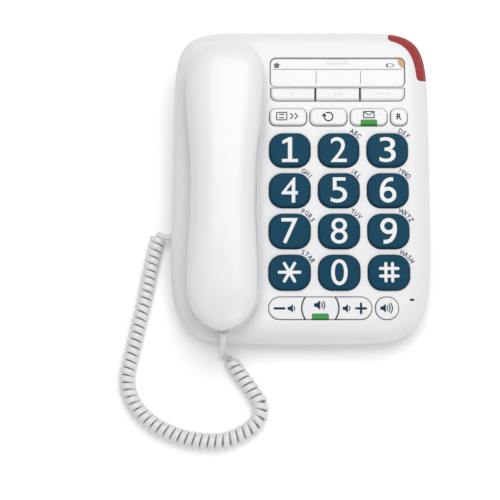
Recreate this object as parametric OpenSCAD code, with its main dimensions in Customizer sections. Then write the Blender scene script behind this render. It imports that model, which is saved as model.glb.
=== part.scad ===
// Corded desk telephone with big keys: a base with a cradle, a handset and a curly cord.
// X points right, Y to the back and Z up. The origin is on the table, under the middle of the base.
// Many pieces lie on the sloped face: there u runs right, v up the slope and w out of the face.

/* [Base] */
// Width of the base
base_w = 186; // [184:1:240]
// Length of the base, front to back
base_l = 227; // [224:1:280]
// Height of the face at its front edge
front_h = 30; // [28:0.5:40]
// Slope of the face, rising to the back, in degrees
face_tilt = 6; // [0:0.5:10]
// Radius of the edge between the face and the sides
edge_r = 14.5; // [6:0.5:18]
// Squareness of the two back corners: 2 is an ellipse
back_power = 7.8; // [4:0.1:10]
// Squareness of the two front corners
front_power = 5.8; // [4:0.1:10]
// Height of the joint line between the two housings
seam_z = 15; // [13:0.5:18]
// Wall of both housings
wall = 2.5; // [1.8:0.1:3.2]
// Height of the bottom housing above the table
sole_z = 2.5; // [1.5:0.5:4]
// Radius of a rubber foot
foot_r = 7; // [5:0.5:9]

/* [Dial keys] */
// Width of a dial key
key_w = 28.8; // [22:0.2:30]
// Length of a dial key
key_l = 24.2; // [19:0.2:25.4]
// Corner radius of a dial key
key_r = 9.5; // [4:0.5:9.5]
// Distance between the columns of dial keys
column_pitch = 34.9; // [34:0.1:42]
// Distance between the rows of dial keys
row_pitch = 29.3; // [29:0.1:32]
// Height of a dial key above the face
key_h = 3; // [2:0.2:5]
// Distance from the right side of the base to the middle column
keypad_margin = 66; // [64:0.5:80]
// Middle of the four rows, along the slope from the middle of the face
keypad_v = -22.7; // [-26:0.1:-20]
// Gap around each key in its opening
key_gap = 0.5; // [0.3:0.1:0.8]
// How far a key travels when it is pressed
key_travel = 1.2; // [0.6:0.1:2]

/* [Small keys] */
// Width of the quick dial, redial and message keys
function_w = 26.4; // [22:0.2:27]
// Width of the recall key
recall_w = 11.8; // [10:0.2:14]
// Length of the function keys
function_l = 12.2; // [10:0.2:14]
// Height of the function keys above the face
function_h = 2.4; // [1.6:0.2:4]
// Gap between two function keys
function_gap = 2.6; // [2.4:0.1:3]
// Length of the memory keys
memory_l = 9.2; // [7:0.2:11]
// Height of the memory keys above the face
memory_h = 1.8; // [1.4:0.2:3]
// Length of the keys of the volume row
volume_l = 15.3; // [13:0.2:17]
// Width of the row of volume keys
volume_w = 71.8; // [66:0.2:72]
// Radius of the round sides of the handsfree key
handsfree_r = 12.6; // [10:0.2:14]
// Width of the loudness key
loud_w = 15.8; // [13:0.2:17]
// Height of the volume row above the face
volume_h = 1.4; // [1.3:0.1:3]

/* [Window] */
// Width of the clear window over the index card
window_w = 97.6; // [88:0.2:99]
// Length of the window
window_l = 21.6; // [18:0.2:24]
// Thickness of the window
window_t = 1.2; // [0.8:0.1:1.6]

/* [Handset] */
// Length of the handset
handset_l = 206; // [190:1:210]
// Width of the handset at the ear end
ear_w = 56.4; // [50:0.2:60]
// Width of the handset at its waist
waist_w = 47.6; // [40:0.2:50]
// Width of the handset at the mouth end
mouth_w = 51.2; // [46:0.2:56]
// Height of the top of the handset above the face
handset_h = 31; // [26:0.5:36]
// Height of the joint line of the handset above the face
handset_seam = 17; // [15:0.5:19]
// Finger gap under the handle
grip_gap = 9; // [7:0.5:11]
// Depth of the ear and mouth cups below the face
cup_depth = 7; // [5:0.5:9]
// Wall of the handset
handset_wall = 2.2; // [1.6:0.1:2.6]
// Distance from the left side of the base to the middle of the handset
handset_margin = 39.5; // [38:0.5:42]

/* [Cord] */
// Outside radius of the curly cord
coil_r = 5.75; // [5:0.05:6.5]
// Radius of the plain cord at both ends
lead_r = 1.9; // [1.5:0.1:2.5]

/* [Hidden] */
$fn = 48;
half_w = base_w / 2;
half_l = base_l / 2;
face_h = front_h + half_l * tan(face_tilt);
edge = min(edge_r, front_h - seam_z - 0.3);
ring_points = 72;
fillet_steps = 6;
fit_gap = 0.2;
cut = 1;

// The stack under the face: flange of the keys, rubber mat and board, as depths below the face.
flange_top = wall + 0.3;
flange_t = 1.2;
flange_edge = 1.2;
post_top = flange_top + flange_t + key_travel + 0.3;
mat_top = post_top + 2.2;
mat_t = 1.2;
board_top = mat_top + mat_t;
board_t = 1.6;

// Places of the keys on the face.
keypad_u = half_w - keypad_margin;
column_u = [for (c = [-1, 0, 1]) keypad_u + c * column_pitch];
row_v = [for (r = [0:3]) keypad_v + (1.5 - r) * row_pitch];
block_left = column_u[0] - key_w / 2;
row_gap = 6.3;
function_v = row_v[0] + key_l / 2 + row_gap + function_l / 2;
function_step = function_w + function_gap;
function_u = [for (i = [0:2]) block_left + function_w / 2 + i * function_step];
recall_u = block_left + 3 * function_step + recall_w / 2;
memory_v = function_v + function_l / 2 + row_gap + memory_l / 2;
memory_w = (window_w - 4) / 3;
memory_gap = 1.1;
window_u = keypad_u - 0.4;
window_strip = 1.4;
window_v = memory_v + memory_l / 2 + window_strip + window_l / 2;
window_r = 4;
window_rise = 0.4;
pocket_t = 2.1;
card_t = 0.3;
volume_v = row_v[3] - key_l / 2 - 5.2 - volume_l / 2;
volume_u = block_left + volume_w / 2;
loud_u = block_left + volume_w + 2.8 + loud_w / 2;
slot_u = half_w - 15.1;
slot_v = volume_v + 6;

// Lights: two green ones at the front rim of a key, an amber one in the window and the red corner lens.
light_w = 11.6;
light_l = 3.8;
message_light_v = function_v - function_l / 2 + light_l / 2;
handsfree_light_v = volume_v - volume_l / 2 + light_l / 2;
battery_lens_u = window_u + window_w / 2 - 2.6;
battery_lens_v = window_v + window_l / 2 - 3.8;
lens_from = 12;
lens_to = 73;
lens_band = 7.2;
lens_drop = 24;
lens_steps = 16;

// The handset and its cradle.
handset_u = handset_margin - half_w;
mouth_end = 5 - half_l;
ear_end = mouth_end + handset_l;
handle_v = mouth_end + handset_l / 2;
cup_l = 44;
cup_slope = 12;
cup_end = 26;
pocket_l = cup_l + cup_slope - 8.2 + 0.4 * cup_depth;
ear_pocket_v = ear_end - cup_l - cup_slope - 0.3 + pocket_l / 2;
mouth_pocket_v = mouth_end + cup_l + cup_slope + 0.3 - pocket_l / 2;
ear_cup_v = ear_end - 28.3;
mouth_cup_v = mouth_end + 28.3;
pocket_taper = 35 / cup_depth;
pocket_end = 20;
pocket_r = 12;
pocket_depth = cup_depth + fit_gap;
end_steps = [0.06, 0.3, 0.9, 1.8, 3.2, 5, 8, 12, 18, 24, 30];
section_steps = 12;
handset_screw_v = [ear_end - 64, mouth_end + 64];
handset_plug_w = 9;
cup_floor = handset_wall - cup_depth;
plunger_r = 3.5;
plunger_v = ear_cup_v - 12;
speaker_r = 24;
speaker_v = handle_v + 7.5;
speaker_t = 12;

// Screws, batteries and jacks.
boss_r = 4;
screw_r = 1.4;
screw_head_r = 2.9;
screw_head_z = sole_z + 4;
screws = [[-half_w + 12, -half_l + 28], [-half_w + 12, half_l - 28], [half_w - 9, -half_l + 33],
    [half_w - 9, half_l - 56]];
feet = [[-half_w + 22, -half_l + 22], [half_w - 22, -half_l + 22], [-half_w + 22, half_l - 22],
    [half_w - 22, half_l - 22]];
foot_sink = 0.8;
sole_inset = 7;
chine_inset = 2.6;
chine_h = 4;
seam_inset = 0.5;
cell_r = 5.2;
cell_l = 44.5;
cell_gap = 0.4;
cells = 4;
bay_w = cells * 2 * cell_r + (cells + 1) * cell_gap;
bay_l = cell_l + 6;
bay_x = 22;
bay_y = 50;
door_t = 2;
door_edge = 3;
keyhole_r = 4.5;
keyhole_slot_r = 2.2;
keyhole_step = 100;
keyhole_x = -30;
jack_w = 14;
jack_h = 11;
jack_l = 18;
line_jack_x = -20;
socket_w = 10;
socket_h = 7.4;
socket_l = 14;
jack_inset = 5;
jack_z = sole_z + wall + 0.1;
cord_jack_y = 79.5 - half_l;
cord_jack_z = 9;
plug_w = 7.6;
plug_h = 6.4;
plug_l = 11;
switch_x = 35;
switch_z = 26;
switch_w = 7;
switch_travel = 4;

// The cord's points are measured from the front left corner of the base, so the cord goes with it.
function from_corner(points) = [for (p = points)
    len(p) == 2 ? [p[0] - half_w, p[1] - half_l] : [p[0] - half_w, p[1] - half_l, p[2]]];
// The curly cord's own line, lying on the table, from below the handset round to the left side.
coil_route = from_corner([
    [42, -8.5], [47, -16.5], [54, -25.5], [60, -33.5], [64.5, -40.5], [64, -49.5], [59, -56.5],
    [51, -61.5], [41, -65.5], [30, -66.5], [19, -65.5], [8, -63], [-3.5, -58.5], [-14, -52],
    [-22.5, -43.5], [-28, -33.5], [-30, -23.5], [-28.5, -11.5], [-26, 0.5], [-23.5, 14.5],
    [-20.5, 29.5], [-18, 44.5], [-15.5, 60.5], [-13, 73.5], [-11.5, 82.5]]);
// The plain cord from the handset down to the coil, and from the coil to the base.
handset_route = from_corner([
    [39.5, 3.8, 39.4], [39.5, 1.5, 38.8], [39.3, -1.5, 36], [38.7, -3.9, 31], [38, -5.3, 24],
    [37.2, -6, 16], [36.6, -6.3, 9.8], [37.5, -6.7, 6.5], [39.5, -7.5, 5.75], [42, -8.5, 5.75]]);
base_route = from_corner([
    [-11.5, 82.5, 5.75], [-10, 81.5, 7], [-7, 80.1, 8.8], [-3, 79.5, 9], [1.8, 79.5, 9]]);

dial_names = ["1", "2", "3", "4", "5", "6", "7", "8", "9", "star", "0", "hash"];

// ---- Shared shapes ----

// Corner points of a rectangle of size w by l with round corners, around its middle.
function rounded(w, l, r, steps = 6) = [for (q = [0:3], i = [0:steps])
    let (a = q * 90 + i * 90 / steps, sx = (q == 0 || q == 3) ? 1 : -1, sy = q < 2 ? 1 : -1)
    [sx * (w / 2 - r) + r * cos(a), sy * (l / 2 - r) + r * sin(a)]];

function power(x, p) = x == 0 ? 0 : sign(x) * pow(abs(x), p);

// Plan outline of the base, moved in by inset.
function outline(inset) = [for (i = [0:ring_points - 1])
    let (a = i * 360 / ring_points, p = 2 / (sin(a) > 0 ? back_power : front_power))
    [(half_w - inset) * power(cos(a), p), (half_l - inset) * power(sin(a), p)]];

// A closed skin through rings that all have the same number of points, from the lowest up.
module skin(rings) {
    n = len(rings[0]);
    last = len(rings) - 1;
    points = [for (ring = rings) each ring];
    sides = [for (k = [0:last - 1], i = [0:n - 1], t = [0, 1])
        let (j = (i + 1) % n)
        t == 0 ? [k * n + i, (k + 1) * n + j, k * n + j] : [k * n + i, (k + 1) * n + i, (k + 1) * n + j]];
    bottom = [for (i = [0:n - 1]) i];
    top = [for (i = [n - 1:-1:0]) last * n + i];
    polyhedron(points = points, faces = concat([bottom], sides, [top]), convexity = 8);
}

function flat_ring(inset, z) = [for (p = outline(inset)) [p[0], p[1], z]];

// A ring that follows the face, drop below it.
function sloped_ring(inset, drop) = [for (p = outline(inset))
    [p[0], p[1], face_h + p[1] * tan(face_tilt) - drop]];

// The upper body, moved in by inset on the sides and on the face.
module upper_body(inset, low_z) {
    r = edge - inset;
    skin(concat([flat_ring(inset, low_z)], [for (i = [0:fillet_steps])
        let (a = i * 90 / fillet_steps)
        sloped_ring(inset + r * (1 - cos(a)), inset + r * (1 - sin(a)))]));
}

module on_face(u = 0, v = 0, w = 0)
    translate([0, 0, face_h]) rotate([face_tilt, 0, 0]) translate([u, v, w]) children();

module plate(w, l, r, t) linear_extrude(t) polygon(rounded(w, l, r));

// A tube along a route, with a ring of sides at each point, square to the route there.
function unit(a) = a / norm(a);
function tangent(route, i) = unit(route[min(i + 1, len(route) - 1)] - route[max(i - 1, 0)]);
function side_of(t) = unit(cross([0.05, 0.03, 1], t));
function tube_ring(route, i, r, sides) =
    let (t = tangent(route, i), s = side_of(t), n = cross(t, s))
    [for (k = [0:sides - 1]) let (a = 360 * k / sides) route[i] + r * (s * cos(a) + n * sin(a))];
module tube(route, r, sides) skin([for (i = [0:len(route) - 1]) tube_ring(route, i, r, sides)]);

// ---- Outlines of the keys ----

module dial_outline(grow = 0) polygon(rounded(key_w + 2 * grow, key_l + 2 * grow, key_r + grow));

module function_outline(w, grow = 0)
    polygon(rounded(w + 2 * grow, function_l + 2 * grow, 4.3 + grow));

// The block of three memory keys, with round corners at the front.
module memory_block(grow = 0, back = 0)
    intersection() {
        translate([0, 5]) polygon(rounded(window_w - 1.2 + 2 * grow, memory_l + 10 + 2 * grow, 4.5 + grow));
        translate([-window_w, -memory_l]) square([2 * window_w, 1.5 * memory_l + back]);
    }

module memory_outline(i, grow = 0)
    intersection() {
        memory_block(grow);
        translate([(i - 1) * (memory_w + memory_gap) - memory_w / 2 - (i == 0 ? 3 : 0), -memory_l])
            square([memory_w + (i == 1 ? 0 : 3), 2 * memory_l]);
    }

module volume_block(grow = 0)
    polygon(rounded(volume_w + 2 * grow, volume_l + 2 * grow, volume_l / 2 + grow - 0.05));

module handsfree_outline(grow = 0)
    intersection() {
        circle(handsfree_r);
        square([3 * handsfree_r, volume_l + 2 * grow], center = true);
    }

// One of the two volume keys: the block without the handsfree key and its other half.
module volume_outline(side, grow = 0)
    difference() {
        volume_block(grow);
        circle(handsfree_r + 0.8);
        translate([side > 0 ? -volume_w : 0, -volume_l]) square([volume_w, 2 * volume_l]);
    }

module loud_outline(grow = 0)
    polygon(rounded(loud_w + 2 * grow, volume_l + 2 * grow, 7.2 + grow));

module light_outline(grow = 0) square([light_w + 2 * grow, light_l + 2 * grow], center = true);

// A key: its cap through the face and its flange behind the face.
module key(u, v, top) {
    on_face(u, v, -flange_top - flange_t) linear_extrude(flange_top + flange_t + top) children(0);
    on_face(u, v, -flange_top - flange_t) linear_extrude(flange_t) children(1);
}

module dial_key(i) {
    color("#1c4a5e") key(column_u[i % 3], row_v[floor(i / 3)], key_h) {
        dial_outline();
        dial_outline(flange_edge);
    }
}

module function_key(u, w) {
    color("#e9e9ea") key(u, function_v, function_h) {
        function_outline(w);
        function_outline(w, flange_edge);
    }
}

// The notch in the front rim of a key that leaves room for its light.
module light_notch(u, v)
    on_face(u, v - flange_edge / 2 - cut, -mat_top) linear_extrude(mat_top + 10)
        square([light_w + 0.6, light_l + flange_edge + 0.6 + 2 * cut], center = true);

module message_key() {
    color("#e9e9ea") difference() {
        function_key(function_u[2], function_w);
        light_notch(function_u[2], message_light_v);
    }
}

module memory_key(i) {
    color("#e9e9ea") key(window_u, memory_v, memory_h) {
        memory_outline(i);
        memory_outline(i, flange_edge);
    }
}

module volume_key(side) {
    color("#e9e9ea") key(volume_u, volume_v, volume_h) {
        volume_outline(side);
        volume_outline(side, flange_edge);
    }
}

module handsfree_key() {
    color("#e9e9ea") difference() {
        key(volume_u, volume_v, volume_h) {
            handsfree_outline();
            handsfree_outline(flange_edge);
        }
        light_notch(volume_u, handsfree_light_v);
    }
}

module loud_key() {
    color("#e9e9ea") key(loud_u, volume_v, volume_h) {
        loud_outline();
        loud_outline(flange_edge);
    }
}

// ---- Top housing ----

module through_face(u, v) on_face(u, v, -wall - 4) linear_extrude(wall + 4 + 20) children();

module key_openings() {
    for (c = column_u, r = row_v) through_face(c, r) dial_outline(key_gap);
    for (u = function_u) through_face(u, function_v) function_outline(function_w, key_gap);
    through_face(recall_u, function_v) function_outline(recall_w, key_gap);
    through_face(window_u, memory_v) memory_block(key_gap, key_gap);
    through_face(volume_u, volume_v) volume_block(key_gap);
    through_face(loud_u, volume_v) loud_outline(key_gap);
}

// Room behind the face for the flange of the loudness key, close to the round front edge.
module loud_relief()
    on_face(loud_u, volume_v, -board_top) linear_extrude(board_top - flange_top + fit_gap)
        loud_outline(flange_edge + 2 * fit_gap);

// Outline of a cradle pocket, half wide on each side: a long round outer end and two inner corners.
function pocket_ring(half, grow) =
    let (r = pocket_r + grow, far = pocket_l / 2 + grow, e = 2 / 2.4)
    concat([for (a = [180:15:360]) [half * power(cos(a), e),
            pocket_end - pocket_l / 2 + (pocket_end + grow) * power(sin(a), e)]],
        [for (a = [0:15:90]) [half - r + r * cos(a), far - r + r * sin(a)]],
        [for (a = [90:15:180]) [r - half + r * cos(a), far - r + r * sin(a)]]);

// A cradle pocket for a cup that is w wide at the joint line of the handset and narrower at the face.
// Its inner end lies to +v for inner = 1.
module pocket(v, w, inner, depth, grow = 0)
    on_face(handset_u, v, -depth) linear_extrude(depth + 20) scale([1, inner])
        polygon(pocket_ring((w - pocket_taper) / 2 + grow, grow));

module bosses(low, high)
    for (s = screws) translate([s[0], s[1], low]) cylinder(h = high - low, r = boss_r);

// The corner that the ringer lens fills, between two angles of the outline.
function corner_point(inset, a) =
    [(half_w - inset) * power(cos(a), 2 / back_power), (half_l - inset) * power(sin(a), 2 / back_power)];
module lens_zone(grow = 0) {
    span = lens_to - lens_from + 2 * grow;
    angles = [for (i = [0:lens_steps]) lens_from - grow + i * span / lens_steps];
    inner = [for (a = angles) corner_point(lens_band + grow, a)];
    outer = [for (i = [lens_steps:-1:0]) corner_point(-8, angles[i])];
    on_face(0, 0, -lens_drop - grow) linear_extrude(lens_drop + 20) polygon(concat(inner, outer));
}

module line_socket_cut()
    translate([line_jack_x - socket_w / 2, half_l - 12, sole_z + 3]) cube([socket_w, 20, socket_h]);

module switch_slot()
    translate([switch_x, half_l, switch_z])
        cube([switch_w + 2 * switch_travel + 0.8, 12, 3.8], center = true);

module speaker_slots()
    for (i = [-3:3]) through_face(handset_u, speaker_v + i * 5)
        polygon(rounded(2 * sqrt(speaker_r * speaker_r - i * i * 25) - 12, 2, 0.95, 3));

module top_housing() {
    color("#ededee") difference() {
        upper_body(0, seam_z);
        difference() {
            upper_body(wall, seam_z - cut);
            bosses(seam_z - 2 * cut, face_h + half_l * tan(face_tilt));
            pocket(ear_pocket_v, ear_w, -1, pocket_depth + wall, wall);
            pocket(mouth_pocket_v, mouth_w, 1, pocket_depth + wall, wall);
            on_face(window_u, window_v, -pocket_t - 1.6) plate(window_w + 2, window_l + 1, window_r, 6);
        }
        pocket(ear_pocket_v, ear_w, -1, pocket_depth);
        pocket(mouth_pocket_v, mouth_w, 1, pocket_depth);
        key_openings();
        loud_relief();
        on_face(window_u, window_v, -pocket_t) plate(window_w + 0.3, window_l + 0.3, window_r, 10);
        on_face(battery_lens_u, battery_lens_v, -10) plate(4.4, 6.6, 1, 10);
        lens_zone(0.15);
        speaker_slots();
        through_face(slot_u, slot_v) polygon(rounded(2.8, 1.4, 0.65, 3));
        on_face(handset_u, plunger_v, -pocket_depth - 2 * wall) cylinder(h = 3 * wall, r = plunger_r + 0.3);
        switch_slot();
        for (s = screws) translate([s[0], s[1], seam_z - cut]) cylinder(h = 9, r = screw_r + 0.1);
    }
}

// ---- Bottom housing ----

module lower_body(inset, low, high)
    skin([flat_ring(sole_inset + inset, low), flat_ring(chine_inset + inset, low + chine_h),
        flat_ring(seam_inset + inset, high)]);

module keyhole(y) {
    translate([keyhole_x, y, 0]) cylinder(h = sole_z + 2 * wall, r = keyhole_r);
    translate([keyhole_x, y + 8, 0]) cylinder(h = sole_z + 2 * wall, r = keyhole_slot_r);
    translate([keyhole_x - keyhole_slot_r, y, 0]) cube([2 * keyhole_slot_r, 8, sole_z + 2 * wall]);
}

module bay_walls() {
    translate([bay_x, bay_y, sole_z + wall / 2]) difference() {
        linear_extrude(12) square([bay_w + 4, bay_l + 4], center = true);
        translate([0, 0, -cut]) linear_extrude(14) square([bay_w, bay_l], center = true);
    }
}

module bottom_housing() {
    color("#dfdfe1") difference() {
        union() {
            difference() {
                lower_body(0, sole_z, seam_z);
                lower_body(wall, sole_z + wall, seam_z + cut);
            }
            for (s = screws) translate([s[0], s[1], sole_z + wall / 2])
                cylinder(h = seam_z - sole_z - wall / 2, r = boss_r);
            bay_walls();
        }
        translate([bay_x, bay_y, 0]) linear_extrude(sole_z + wall + cut)
            square([bay_w, bay_l], center = true);
        translate([bay_x, bay_y, 0]) linear_extrude(sole_z + door_t)
            square([bay_w + 2 * door_edge - 2, bay_l + 2 * door_edge - 2], center = true);
        for (f = feet) translate([f[0], f[1], 0]) cylinder(h = sole_z + foot_sink, r = foot_r);
        for (s = [-0.5, 0.5]) keyhole(s * keyhole_step);
        for (s = screws) {
            translate([s[0], s[1], 0]) cylinder(h = screw_head_z, r = screw_head_r + 0.3);
            translate([s[0], s[1], 0]) cylinder(h = seam_z + cut, r = screw_r + 0.1);
        }
        line_socket_cut();
        line_jack_body(0.1);
        cord_jack_body(0.1);
        translate([-half_w - cut, cord_jack_y - plug_w / 2 - 0.2, cord_jack_z - plug_h / 2 - 0.2])
            cube([14, plug_w + 0.4, plug_h + 0.4]);
    }
}

module rubber_feet()
    color("#4a4a4c") for (f = feet) translate([f[0], f[1], 0])
        cylinder(h = sole_z + foot_sink, r = foot_r - 0.1);

module housing_screws()
    color("silver") for (s = screws) translate([s[0], s[1], 0]) difference() {
        union() {
            translate([0, 0, screw_head_z - 2]) cylinder(h = 2, r = screw_head_r);
            translate([0, 0, screw_head_z - 1]) cylinder(h = seam_z + 7 - screw_head_z, r = screw_r);
        }
        translate([-2, -0.4, screw_head_z - 3]) cube([4, 0.8, 2]);
        translate([-0.4, -2, screw_head_z - 3]) cube([0.8, 4, 2]);
    }

// ---- Jacks, boards and other parts inside the base ----

module line_jack_body(grow = 0)
    translate([line_jack_x - jack_w / 2 - grow, half_l - jack_l - jack_inset - grow, jack_z - grow])
        cube([jack_w + 2 * grow, jack_l + 2 * grow, jack_h - 1.2 + 2 * grow]);

module cord_jack_body(grow = 0)
    translate([-half_w + jack_inset - grow, cord_jack_y - jack_w / 2 - grow, jack_z - grow])
        cube([jack_l - 4 + 2 * grow, jack_w + 2 * grow, jack_h - 2 + 2 * grow]);

module line_jack()
    color("#2e2e30") difference() {
        line_jack_body();
        translate([line_jack_x - socket_w / 2, half_l - socket_l - jack_inset, sole_z + 3])
            cube([socket_w, socket_l + cut, socket_h]);
    }

module cord_jack()
    color("#2e2e30") difference() {
        cord_jack_body();
        translate([-half_w + jack_inset - cut, cord_jack_y - plug_w / 2, cord_jack_z - plug_h / 2])
            translate([0, -0.1, -0.1]) cube([plug_l - 1, plug_w + 0.2, plug_h + 0.2]);
    }

board_u = [block_left - 2, window_u + window_w / 2 + 2];
board_v = [volume_v - volume_l / 2 + 1, window_v + window_l / 2 + 2];
module under_keys(depth, t)
    on_face((board_u[0] + board_u[1]) / 2, (board_v[0] + board_v[1]) / 2, -depth - t) linear_extrude(t)
        polygon(rounded(board_u[1] - board_u[0], board_v[1] - board_v[0], 4, 3));

module keypad_board() color("#2f6b46") under_keys(board_top, board_t);

// A rubber post under each key, standing on the mat.
module post(u, v, r)
    on_face(u, v, -mat_top - mat_t / 2) cylinder(h = mat_top + mat_t / 2 - post_top, r = r);

module key_mat()
    color("#8d9296") difference() {
        union() {
            under_keys(mat_top, mat_t);
            for (c = column_u, r = row_v) post(c, r, 5);
            for (u = function_u) post(u, function_v + 2, 2.5);
            post(recall_u, function_v, 2.5);
            for (i = [-1:1]) post(window_u + i * (memory_w + memory_gap), memory_v, 2.5);
            post(volume_u - 23, volume_v, 3.5);
            post(volume_u + 23, volume_v, 3.5);
            post(volume_u, volume_v + 3, 2.5);
            post(loud_u, volume_v, 3.5);
        }
        for (p = [[function_u[2], message_light_v], [volume_u, handsfree_light_v]])
            on_face(p[0], p[1], -mat_top - mat_t - cut) linear_extrude(mat_t + 2 * cut) light_outline(0.5);
        on_face(battery_lens_u, battery_lens_v, -mat_top - mat_t - cut) plate(6, 8, 1, mat_t + 2 * cut);
    }

module loudspeaker()
    color("#38383a") on_face(handset_u, speaker_v, -wall - 1) {
        translate([0, 0, -3]) cylinder(h = 3, r = speaker_r);
        translate([0, 0, -speaker_t]) cylinder(h = speaker_t - 3, r = speaker_r * 0.55);
    }

module microphone()
    color("#38383a") on_face(slot_u - 1.6, slot_v, -wall - 4.1) cylinder(h = 2, r = 2);

module hook_switch()
    color("#2e2e30") on_face(handset_u, plunger_v, -pocket_depth - wall - 20)
        linear_extrude(10) square([18, 9], center = true);

module hook_plunger()
    color("#d8d8da") on_face(handset_u, plunger_v, 0) {
        translate([0, 0, -pocket_depth - wall - 9.5]) cylinder(h = wall + 9.6, r = plunger_r);
        translate([0, 0, -pocket_depth - wall - 9.5]) cylinder(h = 2, r = plunger_r + 1.5);
    }

module ringer_switch()
    color("#3b3b3d") translate([switch_x, half_l - wall, switch_z]) {
        translate([0, 0.6, 0]) cube([switch_w, 4, 3], center = true);
        translate([0, -2.2, 0]) cube([switch_w + 2 * switch_travel + 2, 2, 7], center = true);
    }

// ---- Lights ----

// The red lens that wraps the back right corner: a piece of the upper body's wall.
module ringer_lens()
    color("#a83a3a") intersection() {
        difference() {
            upper_body(0, seam_z);
            upper_body(wall, seam_z - cut);
        }
        lens_zone();
    }

module battery_low_lens()
    color("#d9a82e") on_face(battery_lens_u, battery_lens_v, -board_top + 2.2)
        plate(4, 6.2, 0.8, board_top - 2.2 + window_rise - window_t - 0.1);

module light_pipe(u, v, top)
    on_face(u, v, -board_top + 2.2) linear_extrude(board_top - 2.2 + top) light_outline();

module message_light() color("#43a047") light_pipe(function_u[2], message_light_v, function_h - 0.3);

module handsfree_light() color("#43a047") light_pipe(volume_u, handsfree_light_v, volume_h - 0.1);

module led(u, v) on_face(u, v, -board_top) linear_extrude(2) square([3, 1.6], center = true);

module indicator_leds()
    color("#f5f3e4") {
        led(battery_lens_u, battery_lens_v);
        led(function_u[2], message_light_v);
        led(volume_u, handsfree_light_v);
        on_face(half_w - 13, half_l - 20, -18) cylinder(h = 8, r = 2);
    }

// ---- Index card and its window ----

module index_card()
    color("#fbfbf8") difference() {
        on_face(window_u, window_v, -pocket_t)
            plate(window_w - 0.6, window_l - 0.6, window_r - 0.3, card_t);
        on_face(battery_lens_u, battery_lens_v, -10) plate(4.6, 6.8, 1, 12);
    }

module card_window()
    color("#eef3f5", 0.4) difference() {
        on_face(window_u, window_v, window_rise - window_t)
            plate(window_w, window_l, window_r, window_t);
        on_face(window_u, window_v + window_l / 2 - 2.2, window_rise - 0.3) plate(14.2, 4.6, 1.5, cut);
    }

// ---- Batteries ----

function cell_x(i) = bay_x + (i - (cells - 1) / 2) * (2 * cell_r + cell_gap);
cell_z = sole_z + door_t + 0.3 + cell_r;

module batteries()
    color("#6f7f8d") for (i = [0:cells - 1]) {
        flip = i % 2 == 0 ? 1 : -1;
        translate([cell_x(i), bay_y, cell_z]) rotate([90 * flip, 0, 0]) {
            translate([0, 0, -cell_l / 2]) cylinder(h = cell_l - 1, r = cell_r);
            translate([0, 0, cell_l / 2 - cut - 0.5]) cylinder(h = 1.5, r = 1.9);
        }
    }

module battery_contacts()
    color("silver") for (i = [0:cells - 1], s = [-1, 1])
        translate([cell_x(i), bay_y + s * (bay_l / 2 - 0.4), cell_z]) cube([8, 0.5, 8], center = true);

module battery_door()
    color("#dfdfe1") difference() {
        translate([bay_x, bay_y, sole_z]) linear_extrude(door_t - 0.1)
            square([bay_w + 2 * door_edge - 2.4, bay_l + 2 * door_edge - 2.4], center = true);
        for (i = [-2:2]) translate([bay_x - 8, bay_y - bay_l / 2 + 5 + i * 1.6, sole_z - cut])
            cube([16, 0.7, cut + 0.6]);
    }

// ---- Handset ----

// Smooth step from 0 to 1.
function ease(t) = let (c = max(0, min(1, t))) c * c * (3 - 2 * c);

// How far a round end has closed, t from 0 at its start to 1 at its tip.
function dome(t, p) = pow(max(0, 1 - pow(max(0, t), p)), 1 / p);

function handset_half(v) = v > -15
    ? (waist_w + (ear_w - waist_w) * ease((v + 5) / 70)) / 2
    : (waist_w + (mouth_w - waist_w) * ease((-v - 25) / 40)) / 2;

function end_round(v, ear, mouth, p_ear, p_mouth) =
    v > 0 ? dome(1 - (ear_end - v) / ear, p_ear) : dome(1 - (v - mouth_end) / mouth, p_mouth);

function crest(v, inset) = let (arch = 1 - 0.16 * pow(v / 100, 2))
    (handset_h - inset - handset_seam) * arch * end_round(v, 30, 30, 2.3, 2.3);

// Depth of the underside below the joint line: shallow at the handle, deep at the two cups.
function belly(v, inset) =
    let (cup = max(ease((v - ear_end + cup_l + cup_slope) / cup_slope),
             ease((mouth_end + cup_l + cup_slope - v) / cup_slope)))
    (handset_seam - grip_gap + cup * (grip_gap + cup_depth) - inset)
        * end_round(v, cup_end - inset, cup_end - inset, 2.2, 2.2);

function half_at(v, inset) = (handset_half(v) - inset) * end_round(v, 28 - inset, 30 - inset, 2.5, 2);

// Stations along the handset, closer together at its ends and at the cups.
stations = concat([for (s = end_steps) mouth_end + s],
    [for (t = [36, 42, 46, 50, 54, 58, 66]) mouth_end + t], [for (t = [-24.5, -4.5, 15.5]) handle_v + t],
    [for (t = [66, 58, 54, 50, 46, 42, 36]) ear_end - t],
    [for (i = [len(end_steps) - 1:-1:0]) ear_end - end_steps[i]]);

function section(v, inset, side, floor_w) =
    let (h = half_at(v, inset), depth = side > 0 ? crest(v, inset) : belly(v, inset),
        p = 2 / (side > 0 ? 2.5 : 3))
    concat([[handset_u + h, v, floor_w]],
        [for (i = [0:section_steps]) let (a = i * 180 / section_steps)
            [handset_u + h * power(cos(a), p), v, handset_seam + side * depth * power(sin(a), p)]],
        [[handset_u - h, v, floor_w]]);

function reversed(list) = [for (i = [len(list) - 1:-1:0]) list[i]];

// One half of the handset's solid shape. The skin runs over the joint line by over.
module handset_half_body(inset, side, over) {
    trim = inset == 0 ? 0 : inset + 0.3;
    rings = [for (v = stations) if (v > mouth_end + trim && v < ear_end - trim)
        let (ring = section(v, inset, side, handset_seam - side * over)) side > 0 ? ring : reversed(ring)];
    on_face() skin(reversed(rings));
}

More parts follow.
